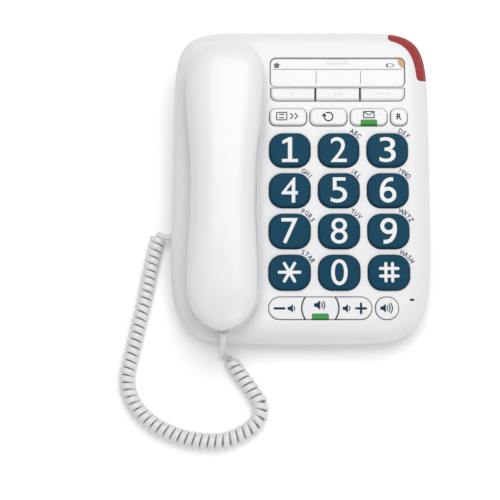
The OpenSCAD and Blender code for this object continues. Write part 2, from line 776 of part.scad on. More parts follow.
module handset_top()
    color("#f0f0f1") difference() {
        handset_half_body(0, 1, 0);
        difference() {
            handset_half_body(handset_wall, 1, cut);
            for (v = handset_screw_v) on_face(handset_u, v, handset_seam) cylinder(h = handset_h, r = 3.6);
        }
        for (v = handset_screw_v) on_face(handset_u, v, handset_seam - cut) cylinder(h = cut + 7, r = 1.4);
    }

module handset_bottom()
    color("#e6e6e8") difference() {
        handset_half_body(0, -1, 0);
        difference() {
            handset_half_body(handset_wall, -1, cut);
            for (v = handset_screw_v) on_face(handset_u, v, grip_gap)
                cylinder(h = handset_seam - grip_gap, r = 4.2);
        }
        for (a = [0:60:300]) on_face(handset_u, ear_cup_v, -cup_depth - cut) rotate([0, 0, a])
            translate([7, 0, 0]) cylinder(h = handset_wall + 2 * cut, r = 1.2);
        for (v = handset_screw_v) on_face(handset_u, v, grip_gap - cut) {
            cylinder(h = cut + 2, r = 2.9);
            cylinder(h = 12, r = 1.5);
        }
        on_face(handset_u, ear_cup_v, -cup_depth - cut) cylinder(h = handset_wall + 2 * cut, r = 1.2);
        on_face(handset_u, mouth_cup_v, -cup_depth - cut) cylinder(h = handset_wall + 2 * cut, r = 1);
        on_face(handset_u, mouth_end + 2, handset_plug_w)
            cube([plug_w + 0.4, 14, plug_h + 0.4], center = true);
    }

module receiver()
    color("#38383a") on_face(handset_u, ear_cup_v, cup_floor + 1.7) cylinder(h = 7, r = 14);

module handset_microphone()
    color("#38383a") on_face(handset_u, mouth_cup_v, cup_floor + 0.6) cylinder(h = 5, r = 4.8);

module handset_weight()
    color("silver") on_face(handset_u, handle_v, grip_gap + handset_wall + 2.8)
        cube([20, 60, 4], center = true);

module handset_jack()
    color("#2e2e30") difference() {
        on_face(handset_u, mouth_end + 12.5, handset_plug_w + 0.5) cube([jack_w - 2, 11, 8.4], center = true);
        on_face(handset_u, mouth_end + plug_l / 2, handset_plug_w)
            cube([plug_w + 0.2, plug_l, plug_h + 0.2], center = true);
    }

module handset_screws()
    color("silver") for (v = handset_screw_v) on_face(handset_u, v, grip_gap + 0.3) {
        cylinder(h = 1.7, r = 2.6);
        cylinder(h = 13, r = 1.3);
    }

// ---- Cord ----

module handset_plug()
    color("#cfd3d6") on_face(handset_u, mouth_end + plug_l / 2 - 0.6, handset_plug_w)
        cube([plug_w, plug_l, plug_h], center = true);

module handset_lead() color("#f4f4f5") tube(handset_route, lead_r, 8);

module coil_cord() color("#f4f4f5") tube([for (p = coil_route) [p[0], p[1], coil_r]], coil_r, 12);

module base_lead() color("#f4f4f5") tube(base_route, lead_r, 8);

module base_plug()
    color("#cfd3d6") translate([-half_w + 1.8, cord_jack_y - plug_w / 2, cord_jack_z - plug_h / 2])
        cube([plug_l, plug_w, plug_h]);

bottom_housing();
top_housing();
rubber_feet();
housing_screws();
line_jack();
cord_jack();
keypad_board();
key_mat();
loudspeaker();
microphone();
hook_switch();
hook_plunger();
ringer_switch();
ringer_lens();
indicator_leds();
battery_low_lens();
message_light();
handsfree_light();
index_card();
card_window();
batteries();
battery_contacts();
battery_door();
for (i = [0:11]) dial_key(i);
for (i = [0:2]) memory_key(i);
function_key(function_u[0], function_w);  // key_quick_dial
function_key(function_u[1], function_w);  // key_redial
message_key();  // key_message
function_key(recall_u, recall_w);  // key_recall
volume_key(-1);  // key_volume_down
handsfree_key();  // key_handsfree
volume_key(1);  // key_volume_up
loud_key();  // key_loud
handset_top();
handset_bottom();
receiver();
handset_microphone();
handset_weight();
handset_jack();
handset_screws();
handset_plug();
handset_lead();
coil_cord();
base_lead();
base_plug();
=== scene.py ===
import math

import bmesh
import bpy
import numpy as np
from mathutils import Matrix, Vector


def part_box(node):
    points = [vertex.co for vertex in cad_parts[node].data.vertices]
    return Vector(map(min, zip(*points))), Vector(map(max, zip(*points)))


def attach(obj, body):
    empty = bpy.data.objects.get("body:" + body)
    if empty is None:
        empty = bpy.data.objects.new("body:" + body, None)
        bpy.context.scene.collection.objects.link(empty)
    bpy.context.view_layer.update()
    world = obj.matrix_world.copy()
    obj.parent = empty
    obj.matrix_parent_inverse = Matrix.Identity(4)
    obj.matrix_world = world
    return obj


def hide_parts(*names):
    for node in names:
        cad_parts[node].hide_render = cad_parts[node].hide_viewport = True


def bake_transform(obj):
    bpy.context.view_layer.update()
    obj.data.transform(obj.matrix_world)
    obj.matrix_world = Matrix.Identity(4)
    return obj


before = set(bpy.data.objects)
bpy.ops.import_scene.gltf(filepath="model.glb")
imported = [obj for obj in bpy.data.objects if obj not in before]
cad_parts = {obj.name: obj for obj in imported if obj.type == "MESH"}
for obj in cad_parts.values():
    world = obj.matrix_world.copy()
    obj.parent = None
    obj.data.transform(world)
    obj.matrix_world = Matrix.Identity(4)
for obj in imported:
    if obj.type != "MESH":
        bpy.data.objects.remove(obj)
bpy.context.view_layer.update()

# ---------------------------------------------------------------------------
# Camera, floor and studio light
# A pale seamless floor under a big overhead soft box, with a weaker fill from the right.
# The camera looks down steeply from the front, as someone standing at the desk would.
# ---------------------------------------------------------------------------
MM = 0.001
scene = bpy.context.scene
scene.view_settings.view_transform = "Standard"

LOOK_AT = Vector((0, 0, 30 * MM))
CAMERA_ELEVATION = math.radians(73)
CAMERA_DISTANCE = 0.842
camera_data = bpy.data.cameras.new("desk_camera")
camera_data.lens = 83.86
camera_data.sensor_width = 36
camera_data.shift_x = -0.1016
camera_data.shift_y = -0.131
camera = bpy.data.objects.new("desk_camera", camera_data)
camera.location = LOOK_AT + CAMERA_DISTANCE * Vector(
    (0, -math.cos(CAMERA_ELEVATION), math.sin(CAMERA_ELEVATION)))
camera.rotation_euler = (math.pi / 2 - CAMERA_ELEVATION, 0, 0)
scene.collection.objects.link(camera)
scene.camera = camera


def new_material(name):
    """A node material with its Principled shader and its output, ready for more nodes."""
    material = bpy.data.materials.new(name)
    material.use_nodes = True
    return material, material.node_tree, material.node_tree.nodes["Principled BSDF"]


def add_node(tree, kind, inputs=None, **settings):
    """A node with its settings and the values of its unlinked inputs."""
    made = tree.nodes.new(kind)
    for key, value in settings.items():
        setattr(made, key, value)
    for key, value in (inputs or {}).items():
        made.inputs[key].default_value = value
    return made


def mesh_piece(name, points, faces, smooth=True):
    """A mesh object from plain lists of points and faces, linked to the scene."""
    mesh = bpy.data.meshes.new(name)
    mesh.from_pydata([tuple(p) for p in points], [], [tuple(f) for f in faces])
    mesh.update()
    for polygon in mesh.polygons:
        polygon.use_smooth = smooth
    made = bpy.data.objects.new(name, mesh)
    scene.collection.objects.link(made)
    return made


HALF_FLOOR = 3.0
FLOOR_DROP = 0.0002
floor = mesh_piece("floor", [(x * HALF_FLOOR, y * HALF_FLOOR, 0)
                             for x, y in ((-1, -1), (1, -1), (1, 1), (-1, 1))], [(0, 1, 2, 3)])
floor.location.z = -FLOOR_DROP
floor_paint, tree, shader = new_material("pale_floor")
shader.inputs["Base Color"].default_value = (0.97, 0.97, 0.97, 1)
shader.inputs["Roughness"].default_value = 0.9
shader.inputs["Specular IOR Level"].default_value = 0.1
shader.inputs["Emission Color"].default_value = (1, 1, 1, 1)
shader.inputs["Emission Strength"].default_value = 0.12
floor.data.materials.append(floor_paint)

world = bpy.data.worlds.new("studio_air")
scene.world = world
world.use_nodes = True
world.node_tree.nodes["Background"].inputs["Color"].default_value = (1, 1, 1, 1)
world.node_tree.nodes["Background"].inputs["Strength"].default_value = 0.4


def soft_box(name, place, size, watts):
    """A large square area light aimed at the middle of the base."""
    data = bpy.data.lights.new(name, "AREA")
    data.shape = "SQUARE"
    data.size = size
    data.energy = watts
    light = bpy.data.objects.new(name, data)
    light.location = place
    light.rotation_euler = (-Vector(place)).to_track_quat("-Z", "Y").to_euler()
    scene.collection.objects.link(light)


soft_box("overhead_box", (0.1, 0.4, 1.4), 1.1, 13.2)
soft_box("front_fill", (0.5, -1.2, 0.9), 0.9, 4.2)

# ---------------------------------------------------------------------------
# Curly cord
# One flat white cable: a short straight end out of the handset, a coil wound from the same
# cable that lies on the table in a loop, and a short straight end into the base's left side.
# ---------------------------------------------------------------------------
COIL_ROUTE = [(-51, -122), (-46, -130), (-39, -139), (-33, -147), (-28.5, -154), (-29, -163),
              (-34, -170), (-42, -175), (-52, -179), (-63, -180), (-74, -179), (-85, -176.5),
              (-96.5, -172), (-107, -165.5), (-115.5, -157), (-121, -147), (-123, -137),
              (-121.5, -125), (-119, -113), (-116.5, -99), (-113.5, -84), (-111, -69),
              (-108.5, -53), (-106, -40), (-104.5, -31)]
HANDSET_ROUTE = [(-53.5, -109.7, 39.4), (-53.5, -112, 38.8), (-53.7, -115, 36), (-54.3, -117.4, 31),
                 (-55, -118.8, 24), (-55.8, -119.5, 16), (-56.4, -119.8, 9.8), (-55.5, -120.2, 6.5),
                 (-53.5, -121, 5.75), (-51, -122, 5.75)]
BASE_ROUTE = [(-104.5, -31, 5.75), (-103, -32, 7), (-100, -33.4, 8.8), (-96, -34, 9), (-91.2, -34, 9)]
COIL_HEIGHT = 5.75
COIL_RADIUS = 5.75 * MM
CABLE_WIDTH = 4.3 * MM
CABLE_THICK = 2.8 * MM
CABLE_SIDE_POWER, CABLE_FACE_POWER = 0.6, 0.75
COIL_TURNS = 54
STEPS_PER_TURN = 26
BLEND_IN_TURNS = 0.8
COIL_STEP, LEAD_STEP = 0.2, 0.8
SPANS_PER_POINT = 24
SECTION_POINTS = 14


def smooth_route(points, step):
    """Evenly spaced points along a Catmull-Rom curve through the given ones."""
    p = np.array(points, float)
    p = np.vstack([2 * p[0] - p[1], p, 2 * p[-1] - p[-2]])
    fine = []
    for i in range(1, len(p) - 2):
        for t in np.linspace(0, 1, SPANS_PER_POINT, endpoint=False):
            a = 2 * p[i]
            b = (p[i + 1] - p[i - 1]) * t
            c = (2 * p[i - 1] - 5 * p[i] + 4 * p[i + 1] - p[i + 2]) * t ** 2
            d = (3 * p[i] - p[i - 1] - 3 * p[i + 1] + p[i + 2]) * t ** 3
            fine.append((a + b + c + d) / 2)
    fine.append(p[-2])
    fine = np.array(fine)
    far = travelled(fine)
    even = np.linspace(0, far[-1], max(2, int(round(far[-1] / step)) + 1))
    return np.stack([np.interp(even, far, fine[:, k]) for k in range(3)], 1)


def travelled(points):
    """Distance along a route from its start to each of its points."""
    return np.concatenate([[0], np.cumsum(np.linalg.norm(np.diff(points, axis=0), axis=1))])


def unit(v):
    """Vectors of length 1."""
    return v / np.linalg.norm(v, axis=-1, keepdims=True)


def eased(t):
    """Smooth step from 0 to 1."""
    t = np.clip(t, 0, 1)
    return t * t * (3 - 2 * t)


def power(x, p):
    """A power that keeps the sign, which squares off a circle's cosine and sine."""
    return math.copysign(abs(x) ** p, x)


# The coil's turns: a helix around its own line, which starts and ends on that line.
coil_line = smooth_route([(x, y, COIL_HEIGHT) for x, y in COIL_ROUTE], COIL_STEP) * MM
coil_far = travelled(coil_line)
turns_done = np.linspace(0, COIL_TURNS, COIL_TURNS * STEPS_PER_TURN + 1)
along = turns_done / COIL_TURNS * coil_far[-1]
centre = np.stack([np.interp(along, coil_far, coil_line[:, k]) for k in range(3)], 1)
heading = unit(np.gradient(centre, axis=0))
level = unit(np.cross(heading, (0, 0, 1.0)))
wire_radius = (COIL_RADIUS - CABLE_THICK / 2) * eased(
    np.minimum(turns_done, COIL_TURNS - turns_done) / BLEND_IN_TURNS)
coil_angle = 2 * math.pi * turns_done + math.pi / 2
outward = (np.cos(coil_angle)[:, None] * level
           + np.sin(coil_angle)[:, None] * np.cross(level, heading))
helix = centre + outward * wire_radius[:, None]
handset_end = smooth_route(HANDSET_ROUTE, LEAD_STEP) * MM
base_end = smooth_route(BASE_ROUTE, LEAD_STEP) * MM
wire = np.vstack([handset_end[:-1], helix, base_end[1:]])

# The cable's flat section: its thin way points away from the coil's line.
thin_way = np.vstack([np.tile((0, -0.8, 0.6), (len(handset_end) - 1, 1)), outward,
                      np.tile((0, 0, 1.0), (len(base_end) - 1, 1))])
for _ in range(3):
    thin_way[1:-1] = unit(thin_way[:-2] + 2 * thin_way[1:-1] + thin_way[2:])
wire_heading = unit(np.gradient(wire, axis=0))
thin_way = unit(thin_way - (thin_way * wire_heading).sum(1, keepdims=True) * wire_heading)
wide_way = np.cross(wire_heading, thin_way)
rings = []
for k in range(SECTION_POINTS):
    a = 2 * math.pi * k / SECTION_POINTS
    across = power(math.cos(a), CABLE_SIDE_POWER) * CABLE_WIDTH / 2
    through = power(math.sin(a), CABLE_FACE_POWER) * CABLE_THICK / 2
    rings.append(wire + wide_way * across + thin_way * through)
cable_points = np.stack(rings, 1).reshape(-1, 3)
cable_faces = [(i * SECTION_POINTS + k, i * SECTION_POINTS + (k + 1) % SECTION_POINTS,
                (i + 1) * SECTION_POINTS + (k + 1) % SECTION_POINTS, (i + 1) * SECTION_POINTS + k)
               for i in range(len(wire) - 1) for k in range(SECTION_POINTS)]
cable_faces.append(tuple(range(SECTION_POINTS))[::-1])
cable_faces.append(tuple(range((len(wire) - 1) * SECTION_POINTS, len(wire) * SECTION_POINTS)))
cable = mesh_piece("curly_cord", cable_points, cable_faces)


def grain_group():
    """Shader group: fine moulded grain and slow unevenness, as a normal and a roughness."""
    group = bpy.data.node_groups.new("moulded_grain", "ShaderNodeTree")
    for name, value in (("Grain Scale", 2600), ("Grain Depth", 0.00002), ("Roughness", 0.4),
                        ("Unevenness", 0.06)):
        socket = group.interface.new_socket(name, in_out="INPUT", socket_type="NodeSocketFloat")
        socket.default_value = value
    group.interface.new_socket("Roughness", in_out="OUTPUT", socket_type="NodeSocketFloat")
    group.interface.new_socket("Normal", in_out="OUTPUT", socket_type="NodeSocketVector")
    given = add_node(group, "NodeGroupInput")
    result = add_node(group, "NodeGroupOutput")
    place = add_node(group, "ShaderNodeTexCoord")
    fine = add_node(group, "ShaderNodeTexNoise", {"Detail": 2.0})
    slow = add_node(group, "ShaderNodeTexNoise", {"Scale": 40.0, "Detail": 3.0})
    bump = add_node(group, "ShaderNodeBump", {"Strength": 0.6})
    spread = add_node(group, "ShaderNodeMath", {1: 0.5}, operation="SUBTRACT")
    uneven = add_node(group, "ShaderNodeMath", operation="MULTIPLY_ADD")
    link = group.links.new
    link(place.outputs["Object"], fine.inputs["Vector"])
    link(given.outputs["Grain Scale"], fine.inputs["Scale"])
    link(place.outputs["Object"], slow.inputs["Vector"])
    link(fine.outputs["Fac"], bump.inputs["Height"])
    link(given.outputs["Grain Depth"], bump.inputs["Distance"])
    link(slow.outputs["Fac"], spread.inputs[0])
    link(spread.outputs[0], uneven.inputs[0])
    link(given.outputs["Unevenness"], uneven.inputs[1])
    link(given.outputs["Roughness"], uneven.inputs[2])
    link(uneven.outputs[0], result.inputs["Roughness"])
    link(bump.outputs["Normal"], result.inputs["Normal"])
    return group


MIX_FIRST_COLOUR, MIX_SECOND_COLOUR, MIX_COLOUR_RESULT = 6, 7, 2


def tint_group():
    """Shader group: a colour that drifts between two shades, with a fine speckle."""
    group = bpy.data.node_groups.new("shade_drift", "ShaderNodeTree")
    for name in ("Color", "Second Color"):
        group.interface.new_socket(name, in_out="INPUT", socket_type="NodeSocketColor")
    for name, value in (("Drift Scale", 22), ("Speckle", 0.15)):
        socket = group.interface.new_socket(name, in_out="INPUT", socket_type="NodeSocketFloat")
        socket.default_value = value
    group.interface.new_socket("Color", in_out="OUTPUT", socket_type="NodeSocketColor")
    given = add_node(group, "NodeGroupInput")
    result = add_node(group, "NodeGroupOutput")
    place = add_node(group, "ShaderNodeTexCoord")
    drift = add_node(group, "ShaderNodeTexNoise", {"Detail": 3.0, "Roughness": 0.6})
    speck = add_node(group, "ShaderNodeTexNoise", {"Scale": 900.0, "Detail": 1.0})
    blend = add_node(group, "ShaderNodeMath", operation="MULTIPLY_ADD")
    mix = add_node(group, "ShaderNodeMix", data_type="RGBA")
    link = group.links.new
    link(place.outputs["Object"], drift.inputs["Vector"])
    link(given.outputs["Drift Scale"], drift.inputs["Scale"])
    link(place.outputs["Object"], speck.inputs["Vector"])
    link(speck.outputs["Fac"], blend.inputs[0])
    link(given.outputs["Speckle"], blend.inputs[1])
    link(drift.outputs["Fac"], blend.inputs[2])
    link(blend.outputs[0], mix.inputs["Factor"])
    link(given.outputs["Color"], mix.inputs[MIX_FIRST_COLOUR])
    link(given.outputs["Second Color"], mix.inputs[MIX_SECOND_COLOUR])
    link(mix.outputs[MIX_COLOUR_RESULT], result.inputs["Color"])
    return group


moulded_grain = grain_group()
shade_drift = tint_group()


def plastic(name, colour, second=None, roughness=0.38, depth=0.00002, scale=2600, drift=22, **sockets):
    """Moulded plastic or rubber: two close shades, a fine grain, and values set on the shader."""
    material, tree, shader = new_material(name)
    second = second or tuple(c * 0.93 for c in colour)
    grain = add_node(tree, "ShaderNodeGroup", node_tree=moulded_grain)
    grain.inputs["Grain Scale"].default_value = scale
    grain.inputs["Grain Depth"].default_value = depth
    grain.inputs["Roughness"].default_value = roughness
    tint = add_node(tree, "ShaderNodeGroup", node_tree=shade_drift)
    tint.inputs["Color"].default_value = (*colour, 1)
    tint.inputs["Second Color"].default_value = (*second, 1)
    tint.inputs["Drift Scale"].default_value = drift
    for key, value in sockets.items():
        shader.inputs[key.replace("_", " ")].default_value = value
    tree.links.new(grain.outputs["Roughness"], shader.inputs["Roughness"])
    tree.links.new(grain.outputs["Normal"], shader.inputs["Normal"])
    tree.links.new(tint.outputs["Color"], shader.inputs["Base Color"])
    return material


def paint(piece, material):
    """Gives a piece its only material."""
    piece.data.materials.clear()
    piece.data.materials.append(material)
    piece.data.polygons.foreach_set("material_index", [0] * len(piece.data.polygons))


cord_vinyl = plastic("cord_vinyl", (0.80, 0.80, 0.81), (0.74, 0.74, 0.76), roughness=0.36, drift=60)
paint(cable, cord_vinyl)
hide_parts("handset_lead", "coil_cord", "base_lead")
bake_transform(cable)

# ---------------------------------------------------------------------------
# Upper housing
# The white moulded shell: straight sides, a wide round edge and a flat face that slopes to the
# front, with two cradle pockets and an opening with a soft rim for every key.
# ---------------------------------------------------------------------------
shell_low, shell_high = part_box("top_housing")
HALF_W = shell_high.x / MM
HALF_L = shell_high.y / MM
SEAM_Z = shell_low.z / MM
TILT = math.radians(6)
COS_T, SIN_T = math.cos(TILT), math.sin(TILT)
FACE_H = 30 + HALF_L * math.tan(TILT)
EDGE_R = 14.5
WALL = 2.5
BACK_POWER, FRONT_POWER = 7.8, 5.8
OUTLINE_POINTS = 288
FILLET_STEPS = 16
HANDSET_U = -53.5
POCKET_L = 50.6
POCKET_TAPER = 5
POCKET_DEPTH = 7.2
POCKET_END = 20
POCKET_R = 12
POCKET_POWER = 2.4
POCKET_END_STEPS = 40
POCKET_V = {1: 66.5, -1: -77.5}
EAR_V, MOUTH_V = 69.2, -80.2
EAR_W, WAIST_W, MOUTH_W = 56.4, 47.6, 51.2
KEY_GAP = 0.5
FLANGE = 1.2
FLANGE_FOOT = 4.0
FLANGE_TOP = 2.8
SMALLEST_R = 0.02
WELL_ABOVE = 20
RIM_STEPS = 6


def on_face(u, v, w=0.0):
    """A point u across, v up and w out of the sloped face, in the shared frame."""
    return (u * MM, (v * COS_T - w * SIN_T) * MM, (FACE_H + v * SIN_T + w * COS_T) * MM)


def upright(x, y, z):
    """A point given level and upright, in the shared frame."""
    return (x * MM, y * MM, z * MM)


def outline(inset, a):
    """A point of the base's plan outline, moved in by inset, at the angle a."""
    p = 2 / (BACK_POWER if math.sin(a) > 0 else FRONT_POWER)
    return (HALF_W - inset) * power(math.cos(a), p), (HALF_L - inset) * power(math.sin(a), p)


def turn(count):
    """Even angles once round."""
    return [2 * math.pi * i / count for i in range(count)]


def loft(name, rings):
    """A closed skin through rings with equal numbers of points, each seen turning left from above."""
    count = len(rings[0])
    points = [p for ring in rings for p in ring]
    faces = [(k * count + i, k * count + (i + 1) % count,
              (k + 1) * count + (i + 1) % count, (k + 1) * count + i)
             for k in range(len(rings) - 1) for i in range(count)]
    faces.append(tuple(reversed(range(count))))
    faces.append(tuple(range(len(points) - count, len(points))))
    return mesh_piece(name, points, faces)


def rounded(w, l, r_back, r_front=None, steps=10):
    """A rectangle around its middle, with round corners of one size at the back and one in front."""
    r_front = r_back if r_front is None else r_front
    ring = []
    for q in range(4):
        r = max(SMALLEST_R, r_back if q < 2 else r_front)
        sx, sy = (1 if q in (0, 3) else -1), (1 if q < 2 else -1)
        for i in range(steps + 1):
            a = math.pi / 2 * (q + i / steps)
            ring.append((sx * (w / 2 - r) + r * math.cos(a), sy * (l / 2 - r) + r * math.sin(a)))
    return ring


def shell_skin(name, inset, low_z):
    """The upper body as a closed solid, moved in by inset."""
    r = EDGE_R - inset
    rings = [[upright(*outline(inset, a), low_z) for a in turn(OUTLINE_POINTS)]]
    for i in range(FILLET_STEPS + 1):
        b = math.pi / 2 * i / FILLET_STEPS
        ring = []
        for a in turn(OUTLINE_POINTS):
            x, y = outline(inset + r * (1 - math.cos(b)), a)
            ring.append(upright(x, y, FACE_H + y * math.tan(TILT) - inset - r * (1 - math.sin(b))))
        rings.append(ring)
    return loft(name, rings)


def ring_at(ring, w):
    """An outline raised to a height above the face."""
    return [on_face(u, v, w) for u, v in ring]


def edge_rings(shape, top, r, grow, steps):
    """Rings up a quarter-round edge of size r, on which the outline grows, or shrinks, by grow."""
    angles = [math.pi / 2 * i / steps for i in range(steps + 1)]
    return [ring_at(shape(grow * (1 - math.cos(b))), top - r * (1 - math.sin(b))) for b in angles]


def flared_cutter(name, shape, low, rim):
    """A cutter through the face whose upper end flares out to leave a rounded rim."""
    return loft(name, [ring_at(shape(0), low)] + edge_rings(shape, 0, rim, rim, RIM_STEPS)
                + [ring_at(shape(rim), WELL_ABOVE)])


def evaluated_mesh(carrier):
    """The mesh that an object's text or modifiers make."""
    bpy.context.view_layer.update()
    return bpy.data.meshes.new_from_object(carrier.evaluated_get(bpy.context.evaluated_depsgraph_get()))


def carve(piece, other, how="DIFFERENCE"):
    """Cuts another solid out of a piece, or joins it, or keeps what they share. The other is dropped."""
    cutting = piece.modifiers.new("carve", "BOOLEAN")
    cutting.operation = how
    cutting.solver = "MANIFOLD"
    cutting.object = other
    made = evaluated_mesh(piece)
    piece.modifiers.clear()
    piece.data = made
    bpy.data.objects.remove(other, do_unlink=True)


LEVEL_ENOUGH = 0.99999


def crisp(piece, angle=32):
    """Smooth shading that breaks at sharp edges and stays level wherever it meets the flat face."""
    work = bmesh.new()
    work.from_mesh(piece.data)
    for face in work.faces:
        face.smooth = True
    for edge in work.edges:
        edge.smooth = edge.is_manifold and edge.calc_face_angle(0) < math.radians(angle)
    work.to_mesh(piece.data)
    work.free()
    mesh = piece.data
    level = np.array((0, -SIN_T, COS_T))
    face_normal = np.array([polygon.normal for polygon in mesh.polygons])
    is_flat = (face_normal @ level > LEVEL_ENOUGH) & (np.array([p.area for p in mesh.polygons]) > 0)
    sizes = np.array([p.loop_total for p in mesh.polygons])
    loop_face = np.repeat(np.arange(len(sizes)), sizes)
    loop_vertex = np.array([loop.vertex_index for loop in mesh.loops])
    touches = np.zeros(len(mesh.vertices), bool)
    touches[loop_vertex[is_flat[loop_face]]] = True
    normals = np.array([corner.vector for corner in mesh.corner_normals])
    near = touches[loop_vertex] & (face_normal[loop_face] @ level > math.cos(math.radians(angle)))
    normals[near] = level
    mesh.normals_split_custom_set([tuple(n) for n in normals])


def joined(name, pieces):
    """Several pieces as one mesh."""
    points, faces = [], []
    for piece in pieces:
        start = len(points)
        points += [tuple(v.co) for v in piece.data.vertices]
        faces += [tuple(start + i for i in polygon.vertices) for polygon in piece.data.polygons]
        bpy.data.objects.remove(piece, do_unlink=True)
    return mesh_piece(name, points, faces)


def moved(shape, u, v):
    """The same outline, elsewhere on the face."""
    return lambda grow: [(u + x, v + y) for x, y in shape(grow)]


def cap_of(node):
    """A key's middle, size and height, read from its solid: u, v, width, length, top."""
    low, high = (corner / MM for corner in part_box(node))
    v_back = (high.y - FLANGE_FOOT * SIN_T) / COS_T - FLANGE
    v_front = (low.y - FLANGE_TOP * SIN_T) / COS_T + FLANGE
    top = (high.z - FACE_H - v_back * SIN_T) / COS_T
    return (low.x + high.x) / 2, (v_back + v_front) / 2, high.x - low.x - 2 * FLANGE, v_back - v_front, top


def pill(w, l, r):
    """A key outline: a rectangle with round corners."""
    return lambda grow: rounded(w + 2 * grow, l + 2 * grow, r + grow)


def disc(r, count=40):
    """A circle around its middle."""
    return [(r * math.cos(a), r * math.sin(a)) for a in turn(count)]


def prism(name, ring, low, high, place=on_face):
    """A straight solid on an outline, between two heights."""
    return loft(name, [[place(x, y, low) for x, y in ring], [place(x, y, high) for x, y in ring]])


def shifted(ring, u, v):
    """An outline put somewhere else."""
    return [(u + x, v + y) for x, y in ring]


def arc(r, from_deg, to_deg, centre_at=(0, 0), steps=20):
    """Points along part of a circle."""
    angles = np.radians(np.linspace(from_deg, to_deg, steps + 1))
    return [(centre_at[0] + r * math.cos(a), centre_at[1] + r * math.sin(a)) for a in angles]


def pocket(end, grow):
    """A cradle pocket's outline: a long round outer end and two corners at its inner end."""
    half_across = ((EAR_W if end > 0 else MOUTH_W) - POCKET_TAPER) / 2 + grow
    half_along, r = POCKET_L / 2 + grow, POCKET_R + grow
    ring = []
    for i in range(POCKET_END_STEPS + 1):
        a = math.pi * (1 + i / POCKET_END_STEPS)
        ring.append((half_across * power(math.cos(a), 2 / POCKET_POWER),
                     POCKET_END - POCKET_L / 2 + (POCKET_END + grow) * power(math.sin(a), 2 / POCKET_POWER)))
    for side, first in ((1, 0), (-1, 90)):
        ring += arc(r, first, first + 90, (side * (half_across - r), half_along - r), steps=10)
    ring = [(HANDSET_U + x, POCKET_V[end] - end * y) for x, y in ring]
    return ring[::-1] if end > 0 else ring


DIAL_KEYS = ["1", "2", "3", "4", "5", "6", "7", "8", "9", "star", "0", "hash"]
DIAL_R = 9.5
FUNCTION_KEYS = ["quick_dial", "redial", "message", "recall"]
FUNCTION_R = 4.3
VOLUME_SIDE_R = 7.6
LOUD_R = 7.2
HANDSFREE_R = 12.6
MEMORY_BACK_R, MEMORY_CORNER = 0.6, 4.5
dial_cap = {name: cap_of("key_" + name) for name in DIAL_KEYS}
function_cap = {name: cap_of("key_" + name) for name in FUNCTION_KEYS}
loud_cap = cap_of("key_loud")
handsfree_cap = cap_of("key_handsfree")
WINDOW_W, WINDOW_L, WINDOW_R = 97.6, 21.6, 4.0
WINDOW_RISE = 0.4
PANE_T = 1.2
window_low, window_high = (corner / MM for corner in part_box("card_window"))
WINDOW_U = (window_low.x + window_high.x) / 2
WINDOW_V = (window_high.y + WINDOW_RISE * SIN_T - PANE_T * SIN_T) / COS_T - WINDOW_L / 2
MEMORY_L = 9.2
MEMORY_V = WINDOW_V - WINDOW_L / 2 - 1.4 - MEMORY_L / 2
MEMORY_BLOCK_W = WINDOW_W - 1.2
VOLUME_W = 71.8
VOLUME_U, VOLUME_V, _, VOLUME_L, VOLUME_TOP = handsfree_cap
MEMORY_TOP = 1.8
RIM = 0.55
OPENING_DEPTH = 12.0


def memory_block(grow):
    """The outline of the three memory keys together."""
    return rounded(MEMORY_BLOCK_W + 2 * grow, MEMORY_L + 2 * grow, MEMORY_BACK_R, MEMORY_CORNER + grow)


openings = [moved(pill(w, l, DIAL_R), u, v) for u, v, w, l, _ in dial_cap.values()]
openings += [moved(pill(w, l, FUNCTION_R), u, v) for u, v, w, l, _ in function_cap.values()]
openings.append(moved(memory_block, WINDOW_U, MEMORY_V))
openings.append(moved(pill(VOLUME_W, VOLUME_L, VOLUME_SIDE_R), VOLUME_U, VOLUME_V))
openings.append(moved(pill(loud_cap[2], loud_cap[3], LOUD_R), loud_cap[0], loud_cap[1]))


def opening_cutter(shape):
    """The hole for a key, a gap wider than the key all round."""
    return flared_cutter("opening", lambda grow: shape(KEY_GAP + grow), -OPENING_DEPTH, RIM)


shell = shell_skin("upper_shell", 0, SEAM_Z)
hollow = shell_skin("hollow", WALL, SEAM_Z - 1)
for end in (1, -1):
    carve(hollow, prism("pocket_wall", pocket(end, WALL), -POCKET_DEPTH - WALL, WELL_ABOVE))
BACKING_DEPTH = 3.7
backing = rounded(WINDOW_W + 2, WINDOW_L + 1, WINDOW_R)
carve(hollow, prism("window_backing", shifted(backing, WINDOW_U, WINDOW_V), -BACKING_DEPTH, 4))
carve(shell, hollow)
carve(shell, joined("openings", [opening_cutter(shape) for shape in openings]))
POCKET_FLOOR_R = 2.0
POCKET_RIM = 1.0
FLOOR_STEPS = 4
for end in (1, -1):
    rings = []
    for i in range(FLOOR_STEPS + 1):
        b = math.pi / 2 * i / FLOOR_STEPS
        rings.append(ring_at(pocket(end, POCKET_FLOOR_R * (math.sin(b) - 1)),
                             POCKET_FLOOR_R * (1 - math.cos(b)) - POCKET_DEPTH))
    rings += edge_rings(lambda grow: pocket(end, grow), 0, POCKET_RIM, POCKET_RIM, RIM_STEPS)
    rings.append(ring_at(pocket(end, POCKET_RIM), WELL_ABOVE))
    carve(shell, loft("cradle", rings))
PLUNGER_V = EAR_V - 12
PLUNGER_R = 3.8
LAMP_INSET = 0.3
LAMP_U, LAMP_V = WINDOW_U + WINDOW_W / 2 - LAMP_INSET, WINDOW_V + WINDOW_L / 2 - LAMP_INSET
LAMP_W, LAMP_L = 4.3, 6.6
LAMP_GAP = 0.15


